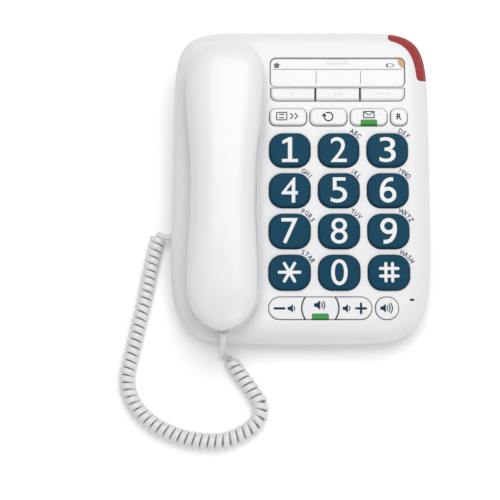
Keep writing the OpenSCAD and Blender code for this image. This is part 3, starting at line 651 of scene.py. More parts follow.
def lamp_shape(grow):
    """A quarter-round that fills the back right corner of the window."""
    r = WINDOW_R - LAMP_INSET
    corner = [(LAMP_U - r + (r + grow) * math.cos(a), LAMP_V - r + (r + grow) * math.sin(a))
              for a in (math.pi / 2 * i / 8 for i in range(9))]
    side = [(LAMP_U - (LAMP_W + grow) * math.sin(a), LAMP_V - (LAMP_L + grow) * math.cos(a))
            for a in (math.pi / 2 * (1 - i / 12) for i in range(13))]
    side[0], side[-1] = (side[0][0], LAMP_V + grow), (LAMP_U + grow, side[-1][1])
    return corner + side


THROUGH = -8
CARD_FLOOR = -2.1
WINDOW_GAP = 0.4
recess = pill(WINDOW_W + 2 * WINDOW_GAP, WINDOW_L + 2 * WINDOW_GAP, WINDOW_R + WINDOW_GAP)
carve(shell, flared_cutter("window_recess", moved(recess, WINDOW_U, WINDOW_V), CARD_FLOOR, 0.3))
carve(shell, prism("amber_hole", lamp_shape(LAMP_GAP), THROUGH, 4))
SLOT_U, SLOT_V = loud_cap[0] + loud_cap[2] / 2 + 9.8, VOLUME_V + 6
SLOT_W, SLOT_L, SLOT_END_R = 3.4, 1.7, 0.82
sound_slot = moved(pill(SLOT_W, SLOT_L, SLOT_END_R), SLOT_U, SLOT_V)
carve(shell, flared_cutter("sound_slot", sound_slot, THROUGH, 0.2))
carve(shell, prism("plunger_hole", shifted(disc(PLUNGER_R), HANDSET_U, PLUNGER_V), -20, 0))
SWITCH_X, SWITCH_Z = 35, 26
SWITCH_SLOT_W, SWITCH_SLOT_H = 15.8, 3.8
switch_slot = shifted(rounded(SWITCH_SLOT_W, SWITCH_SLOT_H, 0.6), SWITCH_X, SWITCH_Z)
carve(shell, prism("switch_slot", switch_slot, HALF_L - 6, HALF_L + 6,
                   place=lambda x, z, y: upright(-x + 2 * SWITCH_X, y, z)))
SPEAKER_V, SPEAKER_R = 2, 24
SPEAKER_SLOT_W, SPEAKER_SLOT_PITCH = 2, 5
slots = []
for i in range(-3, 4):
    long = 2 * math.sqrt(SPEAKER_R ** 2 - (SPEAKER_SLOT_PITCH * i) ** 2) - 12
    slot = moved(pill(long, SPEAKER_SLOT_W, 0.95), HANDSET_U, SPEAKER_V + SPEAKER_SLOT_PITCH * i)
    slots.append(flared_cutter("slot", slot, THROUGH, 0.35))
carve(shell, joined("speaker_slots", slots))

# The corner lens lies flush in a gap of the same shell: from and to are angles of the plan outline.
LENS_FROM, LENS_TO, LENS_BAND, LENS_DROP = 12, 74.6, 8.0, 24.0
LENS_END_L, LENS_END_DEPTH = 7.0, 7.4
LENS_GAP = 0.12
LENS_STEPS = 64
OUTSIDE = -8


def lens_zone(name, grow):
    """A wedge over the back right corner, whose inner side turns outward at both ends."""
    inner = []
    angles = [math.radians(LENS_FROM - grow + i * (LENS_TO - LENS_FROM + 2 * grow) / LENS_STEPS)
              for i in range(LENS_STEPS + 1)]
    plan = np.array([outline(0, a) for a in angles])
    far = travelled(plan)
    for a, s in zip(angles, np.minimum(far, far[-1] - far)):
        t = max(0.0, 1 - s / LENS_END_L)
        inner.append(outline(LENS_BAND + grow - LENS_END_DEPTH * (1 - math.sqrt(1 - t * t)), a))
    outer = [outline(OUTSIDE, a) for a in reversed(angles)]
    return prism(name, inner[::-1] + outer[::-1], -LENS_DROP - grow, WELL_ABOVE)


def finished(piece, material, node, body):
    """Paints a piece that stands for a solid, and lets it ride on the solid's body."""
    paint(piece, material)
    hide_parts(node)
    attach(piece, body)


carve(shell, lens_zone("lens_gap", LENS_GAP))
crisp(shell)
white_shell = plastic("white_shell", (0.85, 0.85, 0.855), (0.815, 0.815, 0.825), roughness=0.42)
finished(shell, white_shell, "top_housing", "base")

# ---------------------------------------------------------------------------
# Ringer light lens
# A translucent red cover that wraps the back right corner and flashes when the phone rings. It is
# moulded to the shell's own thickness and clips into the gap in it.
# ---------------------------------------------------------------------------
lens = shell_skin("ringer_light_lens", 0, SEAM_Z)
carve(lens, shell_skin("lens_hollow", WALL, SEAM_Z - 1))
carve(lens, lens_zone("lens_keep", 0), how="INTERSECT")
crisp(lens)
red_lens = plastic("red_lens", (0.38, 0.05, 0.052), (0.34, 0.045, 0.047), roughness=0.45,
                   Specular_IOR_Level=0.12)
finished(lens, red_lens, "ringer_lens", "base")

# ---------------------------------------------------------------------------
# Dial keys
# Twelve big teal keys with flat tops and rounded edges. Each is moulded round its white figure, and
# stands on its own rubber post, so that it moves by itself.
# ---------------------------------------------------------------------------
teal_key = plastic("teal_key", (0.0035, 0.058, 0.108), (0.003, 0.052, 0.098), roughness=0.45,
                   Specular_IOR_Level=0.08)
white_print = plastic("white_print", (0.86, 0.87, 0.88), roughness=0.5, depth=0.000005)
teal_print = plastic("teal_print", (0.0065, 0.045, 0.078), roughness=0.6, depth=0.000005,
                     Specular_IOR_Level=0.1)
KEY_SKIRT = 4.0
DIAL_EDGE = 1.3
EDGE_STEPS = 8
FLAT_INSET = 0.25
PRINT_RAISE = PRINT_SINK = 0.06
PRINT_STAGGER = 0.004
PEN_END_STEPS = 8
FIGURE_H = 18.2
FIGURE_W = 11.6
FIGURE_STROKE = 2.1


def key_cap(name, shape, top, edge):
    """A key: straight sides with a quarter-round edge up to a flat top, above and behind the face."""
    return loft(name, [ring_at(shape(0), -KEY_SKIRT)] + edge_rings(shape, top, edge, -edge, EDGE_STEPS)
                + [ring_at(shape(-edge - FLAT_INSET), top)])


def finish_key(piece, node, material):
    """Every key is a body of its own, with its node's name."""
    finished(piece, material, node, node)


def glyph(text, height, width=None, bold=0.0, narrow=1.0):
    """The flat shape of a character as points and faces, centred, at its size in millimetres."""
    data = bpy.data.curves.new("glyph", "FONT")
    data.body = text
    data.offset = bold
    data.resolution_u = 8
    carrier = bpy.data.objects.new("glyph", data)
    scene.collection.objects.link(carrier)
    work = bmesh.new()
    work.from_mesh(evaluated_mesh(carrier))
    bmesh.ops.remove_doubles(work, verts=work.verts, dist=0.0005)
    work.verts.ensure_lookup_table()
    points = np.array([v.co[:2] for v in work.verts])
    faces = [[v.index for v in face.verts] for face in work.faces]
    work.free()
    bpy.data.objects.remove(carrier, do_unlink=True)
    low, high = points.min(0), points.max(0)
    scale = height / (high[1] - low[1])
    across = width / (high[0] - low[0]) if width else scale * narrow
    points = (points - (low + high) / 2) * (across, scale)
    return points, faces


def solid(ring):
    """A flat shape with one face, from its outline."""
    return np.array(ring, float), [list(range(len(ring)))]


def pen_sides(line, width):
    """The way along a line at each of its points, and half the pen's width to its left."""
    heading = unit(np.gradient(line, axis=0))
    return heading, np.stack([-heading[:, 1], heading[:, 0]], 1) * width / 2


def stroke(points, width):
    """A pen line with round ends, as one flat outline."""
    line = np.array(points, float)
    heading, side = pen_sides(line, width)
    ring = [tuple(q) for q in line - side]
    for end, ahead, back_along in ((line[-1], heading[-1], (line + side)[::-1]), (line[0], -heading[0], [])):
        facing = math.atan2(ahead[1], ahead[0])
        for i in range(1, PEN_END_STEPS):
            a = facing - math.pi / 2 + math.pi * i / PEN_END_STEPS
            ring.append((end[0] + math.cos(a) * width / 2, end[1] + math.sin(a) * width / 2))
        ring += [tuple(q) for q in back_along]
    return solid(ring)


def turned(shape, angle, u=0.0, v=0.0):
    """A flat shape turned about its middle and then placed on the face."""
    points, faces = shape
    c, s = math.cos(angle), math.sin(angle)
    return points @ np.array([[c, s], [-s, c]]) + (u, v), faces


def printed(name, shapes, w, body, material=teal_print):
    """Thin solids of ink or a second plastic, a hair above a surface at the height w."""
    points, faces = [], []
    for number, (flat, flat_faces) in enumerate(shapes):
        start, count = len(points), len(flat)
        for height in (w + PRINT_RAISE + PRINT_STAGGER * number, w - PRINT_SINK):
            points += ring_at(flat, height)
        edges = {}
        for face in flat_faces:
            area = sum(flat[face[i - 1]][0] * flat[face[i]][1] - flat[face[i]][0] * flat[face[i - 1]][1]
                       for i in range(len(face)))
            face = face if area > 0 else face[::-1]
            faces.append([start + i for i in face])
            faces.append([start + count + i for i in reversed(face)])
            for i in range(len(face)):
                edges[(face[i - 1], face[i])] = True
        for a, b in edges:
            if (b, a) not in edges:
                faces.append([start + a, start + count + a, start + count + b, start + b])
    made = mesh_piece(name, points, faces, smooth=False)
    paint(made, material)
    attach(made, body)


def flat_ring(outer, inner):
    """The flat shape between two outlines with equal numbers of points."""
    count = len(outer)
    return (np.array(outer + inner),
            [[i, (i + 1) % count, count + (i + 1) % count, count + i] for i in range(count)])


def one_shape():
    """A one with a flag and a foot."""
    stem, half_h, foot = 1.5, FIGURE_H / 2, 1.15
    ring = [(-5.5, -half_h), (5.9, -half_h), (5.9, -half_h + 2 * foot), (stem + 0.2, -half_h + 2 * foot),
            (stem + 0.2, half_h), (-stem + 0.9, half_h), (-5.3, half_h - 2.6), (-5.3, half_h - 5.0),
            (-stem + 0.2, half_h - 3.4), (-stem + 0.2, -half_h + 2 * foot), (-5.5, -half_h + 2 * foot)]
    return [solid(ring)]


BOWL_PEN = 2.7
BOWL_HALF_L = 4.35
BOWL_POINTS = 48


def bowl_digit(upright_way):
    """A six, or a nine when it is turned half round: a bowl with a curved tail."""
    half_w, low = (FIGURE_W - BOWL_PEN) / 2, BOWL_PEN / 2 + BOWL_HALF_L - FIGURE_H / 2
    outer, inner = ([((half_w + grow) * math.cos(a), low + (BOWL_HALF_L + grow) * math.sin(a))
                     for a in turn(BOWL_POINTS)] for grow in (BOWL_PEN / 2, -BOWL_PEN / 2))
    tail = smooth_route([(-half_w, low, 0), (-4.35, 0.2, 0), (-3.3, 3.9, 0), (-1.2, 6.6, 0),
                         (1.6, 7.75, 0), (3.7, 7.7, 0)], 0.3)[:, :2]
    _, side = pen_sides(tail, BOWL_PEN)
    tail_shape = solid(list(map(tuple, tail - side)) + list(map(tuple, (tail + side)[::-1])))
    return [turned(shape, 0 if upright_way else math.pi) for shape in (flat_ring(outer, inner), tail_shape)]


def bar(length, width, upright_way=False):
    """A straight pen line around its middle."""
    points = [(length * t, 0) for t in (-0.5, 0, 0.5)]
    return stroke([(y, x) for x, y in points] if upright_way else points, width)


def star_shape(size, width):
    """Three bars crossed at the middle."""
    return [turned(bar(size, width), math.radians(60 * k)) for k in range(3)]


HASH_APART_V, HASH_APART_U = 5.3, 4.7


def hash_shape(size, width):
    """Two level bars across two upright ones."""
    return ([turned(bar(size, width), 0, 0, y * HASH_APART_V / 2) for y in (-1, 1)]
            + [turned(bar(size, width, True), 0, x * HASH_APART_U / 2, 0) for x in (-1, 1)])


STAR_SIZE, HASH_SIZE = 14.4, 12.3


for name in DIAL_KEYS:
    u, v, w, l, top = dial_cap[name]
    cap = key_cap("dial_key_" + name, moved(pill(w, l, DIAL_R), u, v), top, DIAL_EDGE)
    finish_key(cap, "key_" + name, teal_key)
    if name == "1":
        figure = one_shape()
    elif name in ("6", "9"):
        figure = bowl_digit(name == "6")
    elif name == "star":
        figure = star_shape(STAR_SIZE, FIGURE_STROKE)
    elif name == "hash":
        figure = hash_shape(HASH_SIZE, FIGURE_STROKE)
    else:
        figure = [glyph(name, FIGURE_H, FIGURE_W)]
    printed("figure_" + name, [turned(shape, 0, u, v) for shape in figure], top, "key_" + name,
            white_print)

# ---------------------------------------------------------------------------
# Dial letters
# Small teal letters printed on the face in ink, in an arc around the upper right corner of each key.
# Groups of four begin a little lower than groups of three, to stay clear of the key above.
# ---------------------------------------------------------------------------
DIAL_LETTERS = {"2": "ABC", "3": "DEF", "4": "GHI", "5": "JKL", "6": "MNO", "7": "PQRS", "8": "TUV",
                "9": "WXYZ", "star": "STAR", "hash": "HASH"}
LETTER_H = 3.6
LETTER_ARC_R = 12.7
LETTER_STEP = math.radians(14)
LETTER_NARROW = 0.82
LETTER_BOLD = 0.022
GROUP_MIDDLE = {3: math.radians(53), 4: math.radians(47.5)}
for name, letters in DIAL_LETTERS.items():
    u, v, w, l, _ = dial_cap[name]
    corner_u, corner_v = u + w / 2 - DIAL_R, v + l / 2 - DIAL_R
    shapes = []
    for i, letter in enumerate(letters):
        a = GROUP_MIDDLE[len(letters)] + ((len(letters) - 1) / 2 - i) * LETTER_STEP
        # A bolder M would fill its own gaps.
        flat = glyph(letter, LETTER_H, narrow=LETTER_NARROW, bold=0.0 if letter == "M" else LETTER_BOLD)
        shapes.append(turned(flat, a - math.pi / 2, corner_u + LETTER_ARC_R * math.cos(a),
                             corner_v + LETTER_ARC_R * math.sin(a)))
    printed("letters_" + name, shapes, 0.0, "base")

# ---------------------------------------------------------------------------
# Function keys
# Four raised white keys above the dial. Their teal signs are a phone list, a redial arrow, an
# envelope over a green light, and an R.
# ---------------------------------------------------------------------------
white_key = plastic("white_key", (0.84, 0.84, 0.85), (0.80, 0.80, 0.815), roughness=0.34)
green_light = plastic("green_light", (0.045, 0.32, 0.05), (0.04, 0.28, 0.045), roughness=0.35,
                      Specular_IOR_Level=0.2)
FUNCTION_EDGE = 1.5
LIGHT_W, LIGHT_L = 11.6, 3.8
SIGN_PEN = 0.75
LIGHT_DEPTH = 6.2
KEY_CREASE = 40


def light_notch(piece, u, v_front):
    """Leaves room for the light at the front rim of a key."""
    ring = shifted(rounded(LIGHT_W + 0.3, LIGHT_L + 2.15, 1.15, 0.1), u, v_front + LIGHT_L / 2 - 0.93)
    carve(piece, prism("notch", ring, -9, 9))
    crisp(piece, KEY_CREASE)


def light_piece(name, node, u, v_front, top, edge):
    """A green light that finishes the rim of its key."""
    light_v = v_front + LIGHT_L / 2
    above, block, half_block = top + 0.02, 60, 30
    light = prism(name, shifted(rounded(LIGHT_W, LIGHT_L, 1.0, 0.1), u, light_v), -LIGHT_DEPTH, above)
    keep = key_cap("keep", moved(pill(block, block, 4), u, v_front + half_block), above, edge)
    deep = prism("deep", shifted(rounded(block, block, 4), u, v_front + half_block), -7, -3)
    carve(keep, deep, how="UNION")
    carve(light, keep, how="INTERSECT")
    crisp(light, KEY_CREASE)
    finished(light, green_light, node, "base")


for name in FUNCTION_KEYS:
    u, v, w, l, top = function_cap[name]
    cap = key_cap("function_key_" + name, moved(pill(w, l, FUNCTION_R), u, v), top, FUNCTION_EDGE)
    if name == "message":
        light_notch(cap, u, v - l / 2)
    finish_key(cap, "key_" + name, white_key)
message_u, message_v, _, message_l, message_top = function_cap["message"]
light_piece("message_lamp", "message_light", message_u, message_v - message_l / 2, message_top, FUNCTION_EDGE)


def box_line(w, l, r, pen):
    """A closed pen line around a rounded rectangle."""
    return flat_ring(rounded(w + pen, l + pen, r + pen / 2, steps=4),
                     rounded(w - pen, l - pen, r - pen / 2, steps=4))


def placed(shapes, u, v):
    """Flat shapes put somewhere else."""
    return [turned(shape, 0, u, v) for shape in shapes]


u, v, _, _, top = function_cap["quick_dial"]
phone_list = [turned(box_line(7.4, 5.6, 0.8, SIGN_PEN), 0, -4.6, 0)]
phone_list += [turned(bar(3.2, SIGN_PEN), 0, -4.6, y) for y in (-1.2, 1.2)]
phone_list += [turned(stroke([(-1.4, 1.9), (0.4, 0), (-1.4, -1.9)], 0.9), 0, x, 0) for x in (3.2, 6.4)]
printed("sign_quick_dial", placed(phone_list, u, v + 0.3), top, "key_quick_dial")
u, v, _, _, top = function_cap["redial"]
again = [stroke(arc(3.1, 120, -190), 0.95), solid([(-5.0, 0.2), (-1.2, 0.2), (-3.1, 2.7)])]
printed("sign_redial", placed(again, u, v), top, "key_redial")
u, v, _, _, top = function_cap["message"]
envelope = [box_line(7.6, 4.6, 0.4, SIGN_PEN), stroke([(-3.6, 2.1), (0, -0.5), (3.6, 2.1)], SIGN_PEN)]
printed("sign_message", placed(envelope, u, v + 1.4), top, "key_message")
u, v, _, _, top = function_cap["recall"]
printed("sign_recall", [turned(glyph("R", 4.6, 3.6, bold=0.03), 0, u, v)], top, "key_recall")

# ---------------------------------------------------------------------------
# Memory keys
# Three white keys in one block under the window, marked with one, two and three grey dots. They are
# moulded caps that share one opening, with narrow slits between them.
# ---------------------------------------------------------------------------
MEMORY_W = (WINDOW_W - 4) / 3
MEMORY_GAP = 1.1
MEMORY_EDGE = 1.8
MEMORY_SIDE_R = 0.5
SLIT_SHRINK = 0.35
SLIT = MEMORY_GAP / 2
DOT_R, DOT_PITCH = 0.55, 3.3
grey_print = plastic("grey_print", (0.58, 0.58, 0.60), roughness=0.6, depth=0.000005)


def memory_part(i):
    """The outline of one memory key: a third of the block."""
    left = -MEMORY_BLOCK_W / 2 if i == 0 else (i - 1.5) * (MEMORY_W + MEMORY_GAP) + SLIT
    right = MEMORY_BLOCK_W / 2 if i == 2 else (i - 0.5) * (MEMORY_W + MEMORY_GAP) - SLIT

    def shape(grow):
        ring = []
        for q, (x, y) in enumerate(((right, MEMORY_L / 2), (left, MEMORY_L / 2), (left, -MEMORY_L / 2),
                                    (right, -MEMORY_L / 2))):
            far_corner = (i == 0 and q == 2) or (i == 2 and q == 3)
            r = MEMORY_CORNER + grow if far_corner else MEMORY_SIDE_R
            side = grow * (1 if abs(x) == MEMORY_BLOCK_W / 2 else SLIT_SHRINK)
            sx, sy = (1 if q in (0, 3) else -1), (1 if q < 2 else -1)
            for k in range(11):
                a = math.pi / 2 * (q + k / 10)
                ring.append((x + sx * (side - r) + r * math.cos(a), y + sy * (grow - r) + r * math.sin(a)))
        return ring
    return shape


for i in range(3):
    node = f"key_memory_{i + 1}"
    cap = key_cap(f"memory_key_{i + 1}", moved(memory_part(i), WINDOW_U, MEMORY_V), MEMORY_TOP, MEMORY_EDGE)
    finish_key(cap, node, white_key)
    middle = WINDOW_U + (i - 1) * (MEMORY_W + MEMORY_GAP)
    dots = [solid(shifted(disc(DOT_R, 20), middle + DOT_PITCH * (k - i / 2), MEMORY_V + 0.3))
            for k in range(i + 1)]
    printed(f"memory_dots_{i + 1}", dots, MEMORY_TOP, node, grey_print)

# ---------------------------------------------------------------------------
# Volume row
# Two white volume keys around a handsfree key with a green light, and a round loudness key. The first
# three share one opening, and the handsfree key's round sides fit into the other two.
# ---------------------------------------------------------------------------
VOLUME_EDGE = 0.9
HALF_VOLUME = VOLUME_L / 2
SLIT_R = HANDSFREE_R + 0.8
HOLLOW_SHRINK = 0.4


def handsfree_shape(grow):
    """The middle key: two round sides, cut off straight at the back and the front."""
    r, half = HANDSFREE_R + grow, HALF_VOLUME + grow
    reach = math.degrees(math.asin(half / r))
    return arc(r, -reach, reach) + arc(r, 180 - reach, 180 + reach)


def volume_shape(side):
    """An outer key: round at its free end and hollow towards the middle key."""
    def shape(grow):
        half, r = HALF_VOLUME + grow, SLIT_R - grow * HOLLOW_SHRINK
        inner = math.degrees(math.asin(half / r))
        ring = arc(half, -90, 90, (VOLUME_W / 2 - HALF_VOLUME, 0)) + arc(r, inner, -inner)
        return ring if side > 0 else [(-x, y) for x, y in reversed(ring)]
    return shape


hands_cap = key_cap("handsfree_key", moved(handsfree_shape, VOLUME_U, VOLUME_V), VOLUME_TOP, VOLUME_EDGE)
light_notch(hands_cap, VOLUME_U, VOLUME_V - HALF_VOLUME)
finish_key(hands_cap, "key_handsfree", white_key)
light_piece("handsfree_lamp", "handsfree_light", VOLUME_U, VOLUME_V - HALF_VOLUME, VOLUME_TOP, VOLUME_EDGE)
for side, node in ((-1, "key_volume_down"), (1, "key_volume_up")):
    cap = key_cap(node + "_cap", moved(volume_shape(side), VOLUME_U, VOLUME_V), VOLUME_TOP, VOLUME_EDGE)
    finish_key(cap, node, white_key)
loud_u, loud_v, loud_w, loud_l, _ = loud_cap
loud = key_cap("loudness_key", moved(pill(loud_w, loud_l, LOUD_R), loud_u, loud_v), VOLUME_TOP, VOLUME_EDGE)
finish_key(loud, "key_loud", white_key)


def speaker_sign(size, waves):
    """A small loudspeaker with sound waves to its right."""
    horn = [(-1.5, -0.55), (-0.75, -0.55), (0.35, -1.5), (0.35, 1.5), (-0.75, 0.55), (-1.5, 0.55)]
    shapes = [solid([(x * size, y * size) for x, y in horn])]
    return shapes + [stroke(arc(size * (0.95 + 0.75 * k), -42, 42, (0.05 * size, 0)), 0.3 * size + 0.15)
                     for k in range(waves)]


SIGN_OUT, SPEAKER_OUT = 28.4, 19.2
SIGN_BAR_L, SIGN_BAR_PEN = 6.8, 1.6
for side, node in ((-1, "key_volume_down"), (1, "key_volume_up")):
    sign = [turned(bar(SIGN_BAR_L, SIGN_BAR_PEN), 0, side * SIGN_OUT, 0)]
    if side > 0:
        sign.append(turned(bar(SIGN_BAR_L, SIGN_BAR_PEN, True), 0, SIGN_OUT, 0))
    sign += placed(speaker_sign(2.0, 1), side * SPEAKER_OUT - 0.6, 0)
    printed("sign_" + node, placed(sign, VOLUME_U, VOLUME_V - 0.2), VOLUME_TOP, node)
printed("sign_handsfree", placed(speaker_sign(2.3, 2), VOLUME_U - 0.9, VOLUME_V + 2.1), VOLUME_TOP,
        "key_handsfree")
printed("sign_loud", placed(speaker_sign(2.1, 3), loud_u - 1.6, loud_v), VOLUME_TOP, "key_loud")

# ---------------------------------------------------------------------------
# Index card and window
# A white paper card with printed rules lies under a clear plastic window, which lifts out by a finger
# tab. A quarter-round amber light shows through its back right corner. A dark ring painted round the
# card's edge is painted shade for the gap round the window, and a grey line round the finger tab is
# painted shade for the dip's edge.
# ---------------------------------------------------------------------------
card_paper = plastic("card_paper", (0.95, 0.95, 0.945), (0.92, 0.92, 0.915), roughness=0.85, scale=1400,
                     depth=0.00003, Specular_IOR_Level=0.2)
rule_ink = plastic("rule_ink", (0.012, 0.012, 0.014), roughness=0.8, depth=0.000005)
amber_lens = plastic("amber_lens", (0.62, 0.36, 0.018), (0.56, 0.31, 0.014), roughness=0.4,
                     Specular_IOR_Level=0.15)
CARD_TOP = -1.8
CARD_INSET = 0.3
card_ring = rounded(WINDOW_W - 2 * CARD_INSET, WINDOW_L - 2 * CARD_INSET, WINDOW_R - CARD_INSET)
card = prism("index_card_sheet", shifted(card_ring, WINDOW_U, WINDOW_V), CARD_FLOOR, CARD_TOP)
carve(card, prism("amber_gap", lamp_shape(LAMP_GAP), -4, 0))
crisp(card)
finished(card, card_paper, "index_card", "base")
RULE_V = 82.2
RULE_PEN = 0.42
RULE_REACH = 46.5
COLUMN_RULES_U = (11.2, 43.4)
rules = [turned(bar(2 * RULE_REACH, RULE_PEN), 0, WINDOW_U, RULE_V)]
for x in COLUMN_RULES_U:
    rules.append(stroke([(x, RULE_V - 10.6), (x, RULE_V - 5), (x, RULE_V - 1.4)], RULE_PEN))
printed("card_rules", rules, CARD_TOP, "base", rule_ink)
house = [stroke([(-2.4, 0.1), (0, 2.0), (2.4, 0.1)], 0.45),
         solid([(-1.7, -1.9), (1.7, -1.9), (1.7, 0.3), (0, 1.6), (-1.7, 0.3)])]
battery = [box_line(5.0, 2.4, 0.4, 0.4), solid([(2.8, -0.6), (3.3, -0.6), (3.3, 0.6), (2.8, 0.6)]),
           solid([(-2.2, -0.9), (-1.2, -0.9), (-1.2, 0.9), (-2.2, 0.9)])]
printed("card_signs", placed(house, WINDOW_U - 44.2, RULE_V + 3) + placed(battery, LAMP_U - 10.5, RULE_V + 3),
        CARD_TOP, "base", rule_ink)

# Painted shade: a dark ring on the card's edge under the window's rim stands in for the shadow in the gap
# round the window; there is no rubber seal there.
gap_painted_shade = plastic("gap_painted_shade", (0.10, 0.10, 0.105), roughness=0.8, depth=0.00001)
GAP_SHADE_PEN = 0.8
printed("window_gap_painted_shade", placed([box_line(WINDOW_W, WINDOW_L, WINDOW_R, GAP_SHADE_PEN)], WINDOW_U, WINDOW_V),
        CARD_TOP + 0.06, "base", gap_painted_shade)

LAMP_FOOT, LAMP_TOP = -6.5, -0.95
amber = prism("battery_low_lamp", lamp_shape(0), LAMP_FOOT, LAMP_TOP)
crisp(amber)
finished(amber, amber_lens, "battery_low_lens", "base")

clear_cover = plastic("clear_cover", (0.93, 0.94, 0.95), (0.93, 0.94, 0.95), roughness=0.12, depth=0.000004,
                      Alpha=0.07)
pane_shape = moved(pill(WINDOW_W, WINDOW_L, WINDOW_R), WINDOW_U, WINDOW_V)
PANE_EDGE = 0.35
PANE_EDGE_STEPS = 4
pane = loft("clear_window", [ring_at(pane_shape(0), WINDOW_RISE - PANE_T)]
            + edge_rings(pane_shape, WINDOW_RISE, PANE_EDGE, -PANE_EDGE, PANE_EDGE_STEPS))
TAB_V = WINDOW_V + WINDOW_L / 2 - 1.7
TAB_W, TAB_L, TAB_DEPTH = 15.4, 5.0, 0.35
tab_ring = shifted(rounded(TAB_W, TAB_L, 0.5, 1.6), WINDOW_U, TAB_V)
carve(pane, prism("tab_dip", tab_ring, WINDOW_RISE - TAB_DEPTH, 2))
crisp(pane)
finished(pane, clear_cover, "card_window", "card_window")
# Painted shade: a grey line round the finger tab stands in for how the dip's edge shows in the clear pane.
tab_edge_painted_shade = plastic("tab_edge_painted_shade", (0.62, 0.62, 0.63), roughness=0.6, depth=0.00001)
printed("finger_tab_edge_painted_shade", placed([box_line(15.0, 4.4, 1.2, 0.3)], WINDOW_U, TAB_V - 0.2),
        WINDOW_RISE - 0.34, "card_window", tab_edge_painted_shade)

# ---------------------------------------------------------------------------
# Handset
# Two white half shells around the earpiece and the mouthpiece: a smooth arched back and a
# slightly greyer front with two round cups, sound holes and two screws.
# ---------------------------------------------------------------------------
HANDSET_H, HANDSET_SEAM, GRIP_GAP, CUP_DEPTH = 31.0, 17.0, 9.0, 7.0
EAR_END, MOUTH_END = 97.5, -108.5
CUP_L, CUP_SLOPE = 44.0, 12.0
JOINT_R = 0.35
LEDGE = 0.7
SECTION_STEPS = 44
END_STATIONS, MIDDLE_STATIONS = 30, 72
BACK_SECTION, FRONT_SECTION = 2.5, 3
BACK_ARCH = 0.16
SIDE_ROUND = (28, 30, 2.5, 2)
BACK_ROUND = (30, 30, 2.3, 2.3)
FRONT_ROUND = (26, 26, 2.2, 2.2)
HANDSET_CREASE = 50
SCREW_FROM_END = 64
SOUND_RING_R = 7
EAR_HOLE_R, MOUTH_HOLE_R, SCREW_WELL_R = 1.2, 1.0, 2.9
HOLE_LOW, HOLE_HIGH = -9, -4.5


def dome(t, p):
    """How wide a round end is, from 1 at t = 0 to 0 at t = 1."""
    return max(0.0, 1 - max(0.0, t) ** p) ** (1 / p)


def end_round(v, ear, mouth, p_ear, p_mouth):
    """The rounding of both ends: how far it reaches, and how square it is, at the ear and the mouth."""
    return dome(1 - (EAR_END - v) / ear, p_ear) if v > 0 else dome(1 - (v - MOUTH_END) / mouth, p_mouth)


def half_width(v):
    """Half the handset's width, wider at the ear than at the mouth, with a waist between them."""
    if v > -15:
        half = (WAIST_W + (EAR_W - WAIST_W) * eased((v + 5) / 70)) / 2
    else:
        half = (WAIST_W + (MOUTH_W - WAIST_W) * eased((-v - 25) / 40)) / 2
    return half * end_round(v, *SIDE_ROUND)


def crest(v):
    """Height of the back above the joint line."""
    return (HANDSET_H - HANDSET_SEAM) * (1 - BACK_ARCH * (v / 100) ** 2) * end_round(v, *BACK_ROUND)


def belly(v):
    """Depth of the front below the joint line: the grip, and a cup at each end."""
    cup = max(eased((v - EAR_END + CUP_L + CUP_SLOPE) / CUP_SLOPE),
              eased((MOUTH_END + CUP_L + CUP_SLOPE - v) / CUP_SLOPE))
    return (HANDSET_SEAM - GRIP_GAP + cup * (GRIP_GAP + CUP_DEPTH)) * end_round(v, *FRONT_ROUND)


def handset_stations():
    """Stations along the handset, very close together at its round ends."""
    reach, tip = 34.0, 0.004
    near = [reach * (1 - math.cos(math.pi / 2 * i / END_STATIONS)) + tip for i in range(END_STATIONS + 1)]
    middle = np.linspace(MOUTH_END + reach, EAR_END - reach, MIDDLE_STATIONS + 2)[1:-1]
    return [MOUTH_END + s for s in near] + list(middle) + [EAR_END - s for s in reversed(near)]


def half_shell(name, side):
    """One half of the handset as a closed solid. The back half stands a little inside the front one."""
    rings = []
    middle, reach = (EAR_END + MOUTH_END) / 2, (EAR_END - MOUTH_END) / 2
    for v in handset_stations():
        half, depth = half_width(v), crest(v) if side > 0 else belly(v)
        p = 2 / (BACK_SECTION if side > 0 else FRONT_SECTION)
        nick = min(JOINT_R, half * 0.4)
        if side > 0:
            half -= min(LEDGE, half * 0.3)
            v = middle + (v - middle) * (1 - LEDGE / reach)
        else:
            nick *= 0.3
        ring = [(half - nick, 0.0)]
        for i in range(SECTION_STEPS + 1):
            a = math.pi * i / SECTION_STEPS
            x, y = half * power(math.cos(a), p), depth * power(math.sin(a), p)
            bite = nick * max(0.0, 1 - y / nick) if nick > 0 else 0.0
            ring.append((x - math.copysign(bite * bite / max(nick, 1e-6), x) * 0.8,
                         max(y, 0.02 * min(1, depth))))
        ring.append((-half + nick, 0.0))
        ring = [on_face(HANDSET_U + x, v, HANDSET_SEAM + side * y) for x, y in ring]
        rings.append(ring if side > 0 else ring[::-1])
    return loft(name, rings)


def turn_out(piece):
    """Makes every face of a closed piece look outward."""
    work = bmesh.new()
    work.from_mesh(piece.data)
    bmesh.ops.recalc_face_normals(work, faces=work.faces)
    work.to_mesh(piece.data)
    work.free()


